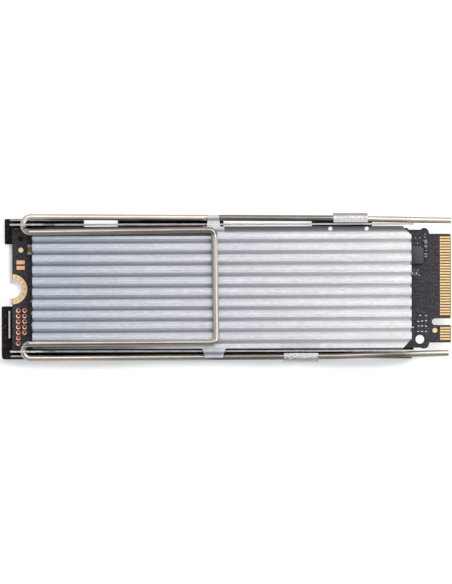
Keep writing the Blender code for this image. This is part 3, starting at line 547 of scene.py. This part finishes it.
# %% The heat sink's shaded places
GROOVE_SHADE_TINTS = (
    (-38, (0.155, 0.175, 0.225)), (-9.4, (0.235, 0.245, 0.29)), (10.6, (0.36, 0.36, 0.39)),
    (34, (0.51, 0.49, 0.51)),
)
GROOVE_SHADE = (
    (0.28, 0.0), (0.35, 0.35), (0.41, 0.80), (0.45, 1.0), (0.53, 1.0), (0.59, 0.72), (0.65, 0.32),
    (0.70, 0.0),
)
SHOULDER_SHADE_TINTS = (
    (-38, (0.03, 0.027, 0.025)), (-4.6, (0.05, 0.045, 0.043)), (-1.5, (0.12, 0.105, 0.11)),
    (34, (0.135, 0.12, 0.125)),
)
EDGE_SHADE = ((-38, 0.30), (-20, 0.45), (-12, 0.95), (34, 1.0))
SHADE_SLOPE, SHADE_START = 0.0021, 33 * MM
SHOULDER_Y, EDGE_Y = (9.85 * MM, 10.5 * MM), -10.74 * MM
TAB_X, LOWER_TAB_Y = (-5.2 * MM, -1.3 * MM), -10.9 * MM
PATCH_X, PATCH_Y = (9.0 * MM, 15.9 * MM), -10.05 * MM
RIBS_X, RIBS_Y = (17.95 * MM, 24.56 * MM), 10.66 * MM
WIRE_SHADOW_X, UPPER_WIRE_SHADOW_Y, LOWER_WIRE_SHADOW_Y = (-36.6 * MM, -3.7 * MM), (9.38 * MM, 9.95 * MM), -10.40 * MM
WIRE_SHADOW_SLOPE = 0.0085
sink_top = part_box("heat_sink")[1].z
below = alloy.under("Z", sink_top - 0.01 * MM)
turned = alloy.math("SUBTRACT", alloy.leaning(SHADE_SLOPE, SHADE_START), GROOVES_Y)
turned = alloy.math("FRACT", alloy.math("DIVIDE", turned, GROOVE_PITCH))
# Painted light and shade: below the ridge tops the colour is raised a little, then a painted shade darkens
# each groove across its middle.
painted_groove_shade = alloy.ramp(turned, greys(GROOVE_SHADE))
color = alloy.mix(below, ridge, alloy.times(ridge, grey(1.15)))
color = alloy.mix(painted_groove_shade, color, alloy.along("X", GROOVE_SHADE_TINTS))
patch = alloy.both(alloy.inside("X", *PATCH_X), alloy.under("Y", PATCH_Y))
color = alloy.mix(patch, color, alloy.times(color, (0.89, 0.90, 0.92)))
on_tab = alloy.inside("X", *TAB_X)
# Painted shade: the upper shoulder is painted dark, apart from the tabs.
slope = alloy.both(alloy.spread(alloy.axis("Y"), *SHOULDER_Y), alloy.opposite(on_tab))
color = alloy.mix(slope, color, alloy.along("X", SHOULDER_SHADE_TINTS))
# Painted shade: the lower edge is darkened, most towards the left.
edge = alloy.under("Y", EDGE_Y)
color = alloy.mix(edge, color, alloy.times(color, alloy.along("X", greys(EDGE_SHADE))))
# Painted shade: both tabs are painted darker, and the lower one also carries a mottle of its own.
upper_tab = alloy.both(on_tab, alloy.over("Y", SHOULDER_Y[1]))
color = alloy.mix(upper_tab, color, alloy.times(color, grey(0.93)))
lower_tab = alloy.both(on_tab, alloy.under("Y", LOWER_TAB_Y))
blotch_and_shade = alloy.mix(alloy.spread(bloom, 0.35, 0.65), (0.60, 0.62, 0.66), (0.92, 0.93, 0.95))
color = alloy.mix(lower_tab, color, alloy.times(color, blotch_and_shade))
# Painted shadow: a dark matte line on the heat sink beside each inner leg of the wire.
by_upper_wire = alloy.inside("Y", *UPPER_WIRE_SHADOW_Y)
by_lower_wire = alloy.between(alloy.leaning(WIRE_SHADOW_SLOPE, LINE_START), EDGE_Y, LOWER_WIRE_SHADOW_Y)
painted_wire_shadow = alloy.both(alloy.either(by_upper_wire, by_lower_wire), alloy.inside("X", *WIRE_SHADOW_X))
color = alloy.mix(alloy.both(painted_wire_shadow, 0.9), color, (0.045, 0.042, 0.042))
# Painted highlights: the two ribs are painted near white and matte.
rib_highlights = alloy.either(*(alloy.near(x, RIBS_Y, 0.26 * MM, 0.44 * MM) for x in RIBS_X))
color = alloy.mix(rib_highlights, color, grey(0.93))
matte = alloy.either(alloy.both(below, 0.85), alloy.both(slope, 0.9))
matte = alloy.either(matte, alloy.either(rib_highlights, painted_wire_shadow))
alloy.into("Base Color", color)
alloy.into("Metallic", alloy.opposite(matte))
alloy.into("Roughness", alloy.spread(bloom, 0.3, 0.7, 0.50, 0.62))
alloy.bump(alloy.math("ADD", alloy.both(streaks, 0.7), alloy.both(dust, 0.5)), 0.02 * MM, 0.4)
print("metals:", wire.material.name, sheet.material.name, alloy.material.name)

# %% [markdown]
# ## The circuit board
# Solder mask is a thin dark lacquer over copper, so faint traces and weave show through it. Contacts,
# screw ring and test pads stand 0.05 mm proud of the board. A mask on height therefore finds all the gold,
# and masks on place pick out the copper pads and the bare brown strip between the contacts.

# %% Board material
board_low, board_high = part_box("circuit_board")
PLATING = 0.05 * MM
top_z, under_z = board_high.z - PLATING, board_low.z + PLATING
board = Finish("dark_solder_mask", (0.055, 0.052, 0.06), 0.5)
weave = board.noise(1.0, 2.0, board.stretched((2600.0, 2600.0, 2600.0), 0.6))
traces = board.noise(1.0, 1.0, board.stretched((500.0, 2600.0, 500.0), 0.9))
mask = board.mix(board.spread(weave, 0.35, 0.65), (0.018, 0.016, 0.021), (0.070, 0.062, 0.076))
mask = board.mix(board.spread(traces, 0.52, 0.56, 0.0, 0.45), mask, (0.018, 0.016, 0.022))
STRIP_X, BEVEL_X = 38.0 * MM, 39.8 * MM
mask = board.mix(board.over("X", STRIP_X), mask, (0.10, 0.045, 0.022))
bevel = board.over("X", BEVEL_X)
mask = board.mix(bevel, mask, (0.46, 0.32, 0.13))
plated = board.either(board.over("Z", top_z + 0.3 * PLATING), board.under("Z", under_z - 0.3 * PLATING))
scuffs = board.noise(1.0, 3.0, board.stretched((900.0, 7000.0, 900.0)))
gold = board.mix(board.spread(scuffs, 0.35, 0.65), (0.86, 0.58, 0.27), (0.98, 0.78, 0.45))
# Painted light: the satin gold of the screw ring, the fiducial and the copper pads have their own colours,
# raised a little against the shade around them.
NOTCH_END_X = -30.0 * MM
at_notch = board.under("X", NOTCH_END_X)
satin_painted_brighter = board.mix(board.spread(scuffs, 0.35, 0.65), (0.94, 0.68, 0.37), (1.0, 0.80, 0.46))
gold = board.mix(at_notch, gold, satin_painted_brighter)
FIDUCIAL, FIDUCIAL_RADIUS = (-38.3 * MM, 6.7 * MM), 0.8 * MM
at_fiducial = board.near(*FIDUCIAL, FIDUCIAL_RADIUS, FIDUCIAL_RADIUS + 0.1 * MM)
gold = board.mix(at_fiducial, gold, (1.0, 0.84, 0.47))
PADS_X, PADS_Y = (-39.4 * MM, -37.6 * MM), (2.9 * MM, 5.4 * MM)
pads = board.both(board.inside("X", *PADS_X), board.inside("Y", *PADS_Y))
gold = board.mix(pads, gold, (1.0, 0.60, 0.37))
CONTACT_PITCH, CONTACT_Y = 0.5 * MM, 0.05 * MM
rows = board.math("DIVIDE", board.math("SUBTRACT", board.axis("Y"), CONTACT_Y), CONTACT_PITCH)
CONTACT_HALF, CONTACTS_X = 0.27, 38.2 * MM
contact_side = board.math("GREATER_THAN", board.off_whole(rows), CONTACT_HALF)
contact_side = board.both(contact_side, board.over("X", CONTACTS_X))
gold = board.mix(contact_side, gold, (0.42, 0.20, 0.07))
gold = board.mix(bevel, gold, (0.66, 0.46, 0.17))
board.into("Base Color", board.mix(plated, mask, gold))
board.into("Metallic", plated)
board.shader.inputs["Specular IOR Level"].default_value = 0.32
board.into("Roughness", board.mix(plated, grey(0.5), board.mix(at_notch, grey(0.32), grey(0.6))))
board.bump(weave, 0.01 * MM, 0.3)
print("the board's bare faces are at", round(under_z / MM, 2), "and", round(top_z / MM, 2), "mm")

# %% [markdown]
# Four plain finishes serve the parts on the board. Moulded chips and ferrite are dark with a fine grain, the
# power chip is a bluer slate, and the tinned lid and solder are bright.

# %% Chips, ferrite and tin
mould = Finish("chip_mould", (0.03, 0.03, 0.032), 0.6)
mould_grain = mould.noise(6000.0, 2.0)
mould.into("Base Color", mould.mix(mould_grain, (0.022, 0.022, 0.024), (0.045, 0.045, 0.048)))
mould.bump(mould_grain, 0.01 * MM, 0.5)
slate = Finish("slate_mould", (0.08, 0.08, 0.10), 0.45)
slate_grain = slate.noise(5000.0, 2.0)
slate.into("Base Color", slate.mix(slate_grain, (0.034, 0.034, 0.052), (0.056, 0.056, 0.080)))
slate.bump(slate_grain, 0.01 * MM, 0.4)
ferrite = Finish("grey_ferrite", (0.11, 0.11, 0.12), 0.7)
ferrite_grain = ferrite.noise(4000.0, 3.0)
ferrite.into("Base Color", ferrite.mix(ferrite_grain, (0.08, 0.08, 0.085), (0.15, 0.15, 0.16)))
ferrite.bump(ferrite_grain, 0.02 * MM, 0.6)
tin = Finish("bright_tin", (0.80, 0.80, 0.80), 0.3, 1.0)
tin_grain = tin.noise(3000.0, 3.0)
tin.into("Roughness", tin.spread(tin_grain, 0.3, 0.7, 0.2, 0.42))
tin.bump(tin_grain, 0.02 * MM, 0.5)
print("finishes:", mould.material.name, slate.material.name, ferrite.material.name, tin.material.name)

# %% [markdown]
# A chip capacitor is a ceramic block with a tinned cap on each end. The caps are a quarter of its length,
# so a mask on the distance from its middle finds them, and each capacitor gets a material for its place.

# %% Ceramic with tinned ends
CAP_SHARE = 0.25


def ceramic(node, color):
    """Ceramic of one colour, with tin on both ends of the longer side of that node."""
    low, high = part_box(node)
    size = high - low
    letter = "X" if size.x > size.y else "Y"
    length = max(size.x, size.y)
    middle = (low + high)["XY".index(letter)] / 2
    finish = Finish(f"ceramic_{node}", color, 0.45)
    away = finish.math("ABSOLUTE", finish.math("SUBTRACT", finish.axis(letter), middle))
    cap = finish.math("GREATER_THAN", away, length * (0.5 - CAP_SHARE * 0.98))
    darker = tuple(0.7 * c for c in color)
    body = finish.mix(finish.noise(5000.0), darker, color)
    finish.into("Base Color", finish.mix(cap, body, (0.42, 0.39, 0.36)))
    finish.into("Metallic", finish.both(cap, 0.6))
    finish.bump(finish.noise(3500.0), 0.01 * MM, 0.4)
    return finish.material


TAN, BROWN = (0.30, 0.16, 0.075), (0.10, 0.065, 0.045)
plain = {}
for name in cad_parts:
    if "capacitor" in name:
        plain[name] = ceramic(name, TAN if name == "end_capacitor" else BROWN)
print(len(plain), "capacitors have a material")

# %% [markdown]
# The board and its small parts are already the right shape, so they keep their solids' meshes and are only
# given materials. The power chip is left for later, with the pieces that are copied.

# %% Dress the solids that keep their own mesh
plain.update({"circuit_board": board.material, "clock_crystal": tin.material})
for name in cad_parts:
    if name.startswith("power_coil"):
        plain[name] = ferrite.material
    elif "chip" in name and name != "power_chip":
        plain[name] = mould.material
for name, material in plain.items():
    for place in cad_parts[name].material_slots:
        place.material = material
print("dressed", len(plain), "solids in place")

# %% [markdown]
# ## Smooth metal
# The solids of the bent and grooved pieces are faceted. Each is copied, its triangles are joined, and its
# gentle edges are shaded smooth while the folds and cut ends stay sharp. The wire has sixteen sides, so a
# wider angle rounds it and still keeps its two sawn ends square.

# %% Copies with smooth shading
SHARP_ANGLE, WIRE_ANGLE = math.radians(34), math.radians(50)


def smooth_twin(node, name, material, body=DRIVE, angle=SHARP_ANGLE):
    """A merged, smoothly shaded copy that stands for a solid."""
    merged_copy(node)
    bpy.ops.object.shade_smooth_by_angle(angle=angle)
    twin = settle(name, material, body)
    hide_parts(node)
    return twin


outer_tray = smooth_twin("tray", "folded_tray", sheet.material)
inner_cradle = smooth_twin("cradle", "folded_cradle", sheet.material)
sink = smooth_twin("heat_sink", "ridged_heat_sink", alloy.material)
bent_wire = smooth_twin("spring_clip", "bent_wire_clip", wire.material, CLIP, WIRE_ANGLE)
chip = smooth_twin("power_chip", "slate_power_chip", slate.material)
print("smooth twins:", outer_tray.name, inner_cradle.name, sink.name, bent_wire.name, chip.name)

# %% [markdown]
# Two of the copies differ a little from their solids. The saw tore the bottoms of the grooves back at both
# ends of the heat sink, and the power chip reaches further along the board in the photo. Both are moves of
# the copy's own points, told apart by where they lie.

# %% Torn groove ends and the longer chip
TORN, RIDGES_Y = 0.28 * MM, 10.0 * MM
GROOVE_DEPTHS, AT_END = (0.1 * MM, 0.62 * MM), 0.01 * MM
sink_low, sink_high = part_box("heat_sink")
torn_points = 0
for vertex in sink.data.vertices:
    in_groove = GROOVE_DEPTHS[0] < sink_top - vertex.co.z < GROOVE_DEPTHS[1] and abs(vertex.co.y) < RIDGES_Y
    if in_groove and vertex.co.x < sink_low.x + AT_END:
        vertex.co.x += TORN
        torn_points += 1
    elif in_groove and vertex.co.x > sink_high.x - AT_END:
        vertex.co.x -= TORN
        torn_points += 1
CHIP_OUT, CHIP_LOW_Y, CHIP_HIGH_Y = 35.02 * MM, 4.25 * MM, 7.2 * MM
chip_low, chip_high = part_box("power_chip")
for vertex in chip.data.vertices:
    if vertex.co.x > (chip_low.x + chip_high.x) / 2:
        vertex.co.x += CHIP_OUT - chip_high.x
    upper_half = vertex.co.y > (chip_low.y + chip_high.y) / 2
    vertex.co.y += CHIP_HIGH_Y - chip_high.y if upper_half else CHIP_LOW_Y - chip_low.y
print(torn_points, "points torn back, and a chip", round((CHIP_OUT - chip_low.x) / MM, 2), "mm long")

# %% [markdown]
# ## Foam
# The pad is thin open foam, and it presses up against the tray. Its solid stops short of the steel, so the
# copy is a little taller. It is remeshed evenly, and a cloud pattern then roughens its skin. Lint and pale
# specks cling to it, which the material adds.

# %% Foam material
foam = Finish("black_open_foam", (0.015, 0.013, 0.013), 0.95)
pores = foam.spots(3600.0)
lint = foam.noise(1.0, 4.0, foam.stretched((2600.0, 900.0, 2600.0), 0.5))
black = foam.mix(foam.spread(pores, 0.05, 0.5), (0.006, 0.005, 0.005), (0.026, 0.022, 0.021))
foam.into("Base Color", foam.mix(foam.spread(lint, 0.60, 0.70, 0.0, 0.7), black, (0.16, 0.12, 0.10)))
foam.bump(foam.math("ADD", pores, foam.math("MULTIPLY", lint, 0.6)), 0.12 * MM, 0.9)
foam.shader.inputs["Specular IOR Level"].default_value = 0.2
print("finish:", foam.material.name)

# %% [markdown]
# Remeshing replaces the long thin triangles of the copy by an even grid, which the displacement can move.
# The cloud texture pushes the skin inwards only, so the foam never leaves its box.

# %% Foam pad
STEEL_GAP, PAD_FILL = 0.28 * MM, 0.9
foam_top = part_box("foam_pad")[1].z
pad = merged_copy("foam_pad")
for vertex in pad.data.vertices:
    if vertex.co.z > foam_top / 2:
        vertex.co.z += STEEL_GAP
evened = pad.modifiers.new("evened", "REMESH")
evened.mode = "VOXEL"
evened.voxel_size = 0.22 * MM
bpy.ops.object.modifier_apply(modifier="evened")
clouds = bpy.data.textures.new("foam_clouds", "CLOUDS")
clouds.noise_scale = 0.5 * MM
rough = pad.modifiers.new("rough", "DISPLACE")
rough.texture = clouds
rough.texture_coords = "LOCAL"
rough.strength = -0.06 * MM
rough.mid_level = 0.0
bpy.ops.object.modifier_apply(modifier="rough")
bpy.ops.object.shade_smooth()
pad = settle("soft_foam_pad", foam.material)
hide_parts("foam_pad")
print("the foam has", len(pad.data.polygons), "faces")

# %% [markdown]
# ## Thermal pads
# Two soft grey pads carry heat into the steel and the aluminium. Squeezed between flat faces, they bulge a
# little at the rim, so each is a copy of its solid, grown to touch both neighbours, with rounded edges.

# %% Thermal pads
gum = Finish("grey_thermal_gum", (0.45, 0.47, 0.50), 0.8)
gum_grain = gum.noise(1800.0, 3.0)
gum.into("Base Color", gum.mix(gum_grain, (0.38, 0.40, 0.43), (0.50, 0.52, 0.55)))
gum.bump(gum_grain, 0.03 * MM, 0.6)
for node, name in (("lower_thermal_pad", "squeezed_lower_pad"), ("upper_thermal_pad", "squeezed_upper_pad")):
    squeezed = merged_copy(node)
    low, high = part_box(node)
    for vertex in squeezed.data.vertices:
        vertex.co.z += STEEL_GAP if vertex.co.z > (low.z + high.z) / 2 else -STEEL_GAP
    rim = squeezed.modifiers.new("rim", "BEVEL")
    rim.width = 0.12 * MM
    rim.segments = 3
    rim.limit_method = "ANGLE"
    bpy.ops.object.modifier_apply(modifier="rim")
    bpy.ops.object.shade_smooth_by_angle(angle=SHARP_ANGLE)
    squeezed = settle(name, gum.material)
    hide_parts(node)
    print(name, "is", round((high.z - low.z + 2 * STEEL_GAP) / MM, 2), "mm thick")

# %% [markdown]
# ## Plated holes
# Twelve small plated holes stand in two columns by the screw notch. Each is a flat copper ring around a
# dark middle. A ring is made as a disc whose top is inset and pressed in.

# %% Copper and the dark of a hole
copper = Finish("pink_copper", (0.92, 0.46, 0.30), 0.35, 1.0)
copper.into("Roughness", copper.spread(copper.noise(5000.0), 0.3, 0.7, 0.28, 0.5))
# Painted shade: a shallow disc in near black stands for the inside of a hole. The board's dark pads use the
# same black as their own colour.
void = Finish("hole_dark", (0.006, 0.005, 0.005), 0.9)
void.into("Base Color", void.mix(void.noise(3000.0), (0.004, 0.003, 0.003), (0.010, 0.008, 0.008)))
# Painted shade: the dark red middle of a plated ring stands for its copper barrel in shade.
barrel_shade = Finish("dark_barrel", (0.10, 0.025, 0.012), 0.6)
barrel_shade.into("Base Color", barrel_shade.mix(barrel_shade.noise(5000.0), (0.04, 0.010, 0.006), (0.24, 0.06, 0.03)))
pale = Finish("pale_solder", (0.78, 0.78, 0.80), 0.4, 0.6)
pale.into("Roughness", pale.spread(pale.noise(4000.0), 0.3, 0.7, 0.3, 0.55))


def ring(place, outer, inner, height, sides=20):
    """A disc whose top is inset to a rim and pressed in."""
    start_clean()
    bpy.ops.mesh.primitive_cylinder_add(vertices=sides, radius=outer, depth=height, location=place)
    made = bpy.context.object
    bpy.ops.object.mode_set(mode="EDIT")
    bpy.ops.mesh.select_all(action="DESELECT")
    shape = bmesh.from_edit_mesh(made.data)
    for face in shape.faces:
        face.select = face.normal.z > 0.9
    bmesh.update_edit_mesh(made.data)
    bpy.ops.mesh.inset(thickness=outer - inner)
    bpy.ops.transform.translate(value=(0.0, 0.0, -0.6 * height))
    bpy.ops.object.mode_set(mode="OBJECT")
    return made


def settle_rings(name, rim, middle):
    """Settles the active piece with a rim material, and another on its many-sided middle faces."""
    piece = settle(name, rim)
    piece.data.materials.append(middle)
    for face in piece.data.polygons:
        if face.normal.z > 0.9 and len(face.vertices) > 4:
            face.material_index = 1
    return piece


print("finishes:", copper.material.name, void.material.name, barrel_shade.material.name, pale.material.name)

# %% [markdown]
# One hole is modelled, and the others are copies of it at the holes' pitch of a millimetre. They are joined
# into one piece, since they are one kind of thing and never come apart.

# %% Two columns of plated holes
RING_HEIGHT, HOLE_PITCH = 0.06 * MM, 1.0 * MM
HOLE_OUTER, HOLE_INNER = 0.40 * MM, 0.27 * MM
BOARD_Y = -0.2 * MM
FIRST_X, SECOND_X, FIRST_Y = -38.91 * MM, -37.75 * MM, -3.87 * MM + BOARD_Y
ring_z = top_z + RING_HEIGHT / 2 - 0.01 * MM
first = ring((FIRST_X, FIRST_Y, ring_z), HOLE_OUTER, HOLE_INNER, RING_HEIGHT)
rings = [first]
for x, count in ((FIRST_X, 7), (SECOND_X, 5)):
    for i in range(count):
        move = (x - FIRST_X, -i * HOLE_PITCH, 0.0)
        if any(move):
            rings.append(copy_of(first, move))
join_pieces(rings)
settle_rings("plated_holes", copper.material, barrel_shade.material)
print(len(rings), "plated holes")

# %% [markdown]
# The tooling hole near the corner has a faint bare ring, and the gold half ring is dotted with small
# filled holes. Both are rings too, made thinner and in other finishes.

# %% Tooling ring and the dots of the screw ring
bare = Finish("bare_laminate", (0.10, 0.09, 0.06), 0.6)
bare.into("Base Color", bare.mix(bare.noise(3000.0), (0.07, 0.065, 0.045), (0.13, 0.12, 0.08)))
lacquer = Finish("dark_lacquer", (0.02, 0.019, 0.022), 0.6)
lacquer.into("Base Color", lacquer.mix(lacquer.noise(3000.0), (0.012, 0.011, 0.013), (0.028, 0.026, 0.03)))
dull_gold = Finish("dull_gold", (0.62, 0.42, 0.20), 0.45, 1.0)
dull_gold.into("Roughness", dull_gold.spread(dull_gold.noise(6000.0), 0.3, 0.7, 0.4, 0.6))
TOOLING_X, TOOLING_Y = -38.27 * MM, 9.02 * MM
TOOLING_OUTER, TOOLING_INNER = 0.85 * MM, 0.76 * MM
ring((TOOLING_X, TOOLING_Y, ring_z), TOOLING_OUTER, TOOLING_INNER, RING_HEIGHT, sides=32)
settle_rings("tooling_ring", bare.material, lacquer.material)
start_clean()
# Painted shade: the tooling hole is a dark disc.
PIT_RADIUS = 0.46 * MM
pit_place = (TOOLING_X - 0.25 * MM, TOOLING_Y - 0.05 * MM, ring_z)
bpy.ops.mesh.primitive_cylinder_add(vertices=24, radius=PIT_RADIUS, depth=RING_HEIGHT, location=pit_place)
pit = settle("tooling_pit", void.material)
RING_MIDDLE, DOT_COUNT, DOT_SWING = 2.28 * MM, 7, 72
DOT_OUTER, DOT_INNER, DOT_HEIGHT = 0.13 * MM, 0.07 * MM, 0.03 * MM
dot_z = board_high.z + 0.01 * MM
dots = []
for i in range(DOT_COUNT):
    angle = math.radians(DOT_SWING * (2 * i / (DOT_COUNT - 1) - 1))
    place = (board_low.x + RING_MIDDLE * math.cos(angle), BOARD_Y + RING_MIDDLE * math.sin(angle), dot_z)
    dots.append(ring(place, DOT_OUTER, DOT_INNER, DOT_HEIGHT, sides=12))
join_pieces(dots)
settle_rings("screw_ring_dots", dull_gold.material, void.material)
print("tooling ring and", DOT_COUNT, "dots")

# %% [markdown]
# ## Solder
# A soldered part stands on small silver fillets, not on air. A fillet is a low block at each end of the
# part, with its top pulled in. The large chips under the heat sink sit on a dark underfill.

# %% Fillets and underfill
INTO_PART, ROUNDING = 0.02 * MM, 0.03 * MM


def pedestal(low, high, draw_in):
    """A low block between two corners whose top is drawn in."""
    start_clean()
    middle = [(a + b) / 2 for a, b in zip(low, high)]
    bpy.ops.mesh.primitive_cube_add(size=1.0, location=middle)
    made = bpy.context.object
    made.scale = [b - a for a, b in zip(low, high)]
    bpy.ops.object.transform_apply(location=True, rotation=True, scale=True)
    for vertex in made.data.vertices:
        if vertex.co.z > middle[2]:
            for axis in (0, 1):
                vertex.co[axis] += draw_in if vertex.co[axis] < middle[axis] else -draw_in
    made.data.update()
    edges = made.modifiers.new("edges", "BEVEL")
    edges.width = ROUNDING
    edges.segments = 2
    bpy.ops.object.modifier_apply(modifier="edges")
    return made


fillets, underfills = [], []
FILLET_OUT, UNDERFILL_OUT = 0.04 * MM, 0.05 * MM
for name in sorted(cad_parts):
    low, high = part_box(name)
    if "capacitor" in name or name == "clock_crystal" or name.startswith("power_coil"):
        along = 0 if high.x - low.x > high.y - low.y else 1
        length = high[along] - low[along]
        for side in (0, 1):
            a, b = Vector((low.x, low.y, top_z)), Vector((high.x, high.y, low.z + INTO_PART))
            if side:
                a[along] = high[along] - CAP_SHARE * length
                b[along] = high[along] + FILLET_OUT
            else:
                b[along] = low[along] + CAP_SHARE * length
                a[along] = low[along] - FILLET_OUT
            fillets.append(pedestal(a, b, FILLET_OUT))
    elif "chip" in name:
        a = (low.x - UNDERFILL_OUT, low.y - UNDERFILL_OUT, top_z)
        b = (high.x + UNDERFILL_OUT, high.y + UNDERFILL_OUT, low.z + INTO_PART)
        underfills.append(pedestal(a, b, 2 * UNDERFILL_OUT))
join_pieces(fillets)
solder = settle("solder_fillets", tin.material)
join_pieces(underfills)
underfill = settle("chip_underfill", mould.material)
print(len(fillets), "fillets and", len(underfills), "underfills")

# %% [markdown]
# ## Specks of solder on the board
# Beside the contacts the board carries a scatter of tiny pale pads, each a fifth of a millimetre long, and
# four dark ones. They are low blocks with rounded edges, placed where the photo shows them. Plain dashes,
# which stand hardly above the lacquer, fill the place of the printed marks.

# %% Small pads by the contacts
SPECK_PIXELS = (
    (415.9, 237.6), (420.2, 237.6), (417.9, 243.1), (414.5, 246.8), (417.6, 246.8), (420.5, 246.8),
    (425.4, 233.9), (425.4, 236.8), (424.3, 240.2), (426.6, 240.2), (424.5, 244.3), (427.1, 244.3),
    (426.3, 247.7), (426.3, 250.6), (414.5, 269.8), (418.0, 269.8), (415.0, 275.0), (419.4, 275.0),
)
DASH_PIXELS = (
    (420.3, 315.3), (426.2, 315.5), (418.4, 321.3), (422.2, 320.9), (426.2, 320.6), (418.6, 325.9),
    (422.2, 325.7), (426.2, 326.1), (418.4, 331.4), (422.1, 331.4), (426.2, 331.4), (413.2, 327.2),
)
DARK_PIXELS = ((414.8, 264.8), (417.0, 264.8), (419.3, 264.8), (421.6, 264.8))
BOARD_PIXELS_DOWN = 0.7


def on_board(pixel):
    """The place in metres of a pixel of the photo, at the right end of the board, which lies askew."""
    x = (pixel[0] - MIDDLE_X) / PIXELS_PER_MM
    y = (MIDDLE_Y - BOARD_PIXELS_DOWN - pixel[1]) / PIXELS_PER_MM
    return x * MM, y * MM


def specks(name, pixels, size, material):
    """Low blocks of one size in millimetres at the given pixels, joined into one piece."""
    made = []
    for pixel in pixels:
        x, y = on_board(pixel)
        half_x, half_y = size[0] / 2 * MM, size[1] / 2 * MM
        low = (x - half_x, y - half_y, top_z - 0.01 * MM)
        high = (x + half_x, y + half_y, top_z + size[2] * MM)
        made.append(pedestal(low, high, 0.02 * MM))
    join_pieces(made)
    return settle(name, material)


SPECK, DARK_SPECK, DASH = (0.21, 0.17, 0.10), (0.20, 0.20, 0.10), (0.38, 0.18, 0.03)
pale_specks = specks("pale_specks", SPECK_PIXELS, SPECK, pale.material)
dark_specks = specks("dark_specks", DARK_PIXELS, DARK_SPECK, void.material)
dashes = specks("plain_dashes", DASH_PIXELS, DASH, pale.material)
print(len(SPECK_PIXELS) + len(DARK_PIXELS), "specks and", len(DASH_PIXELS), "dashes")

# %% [markdown]
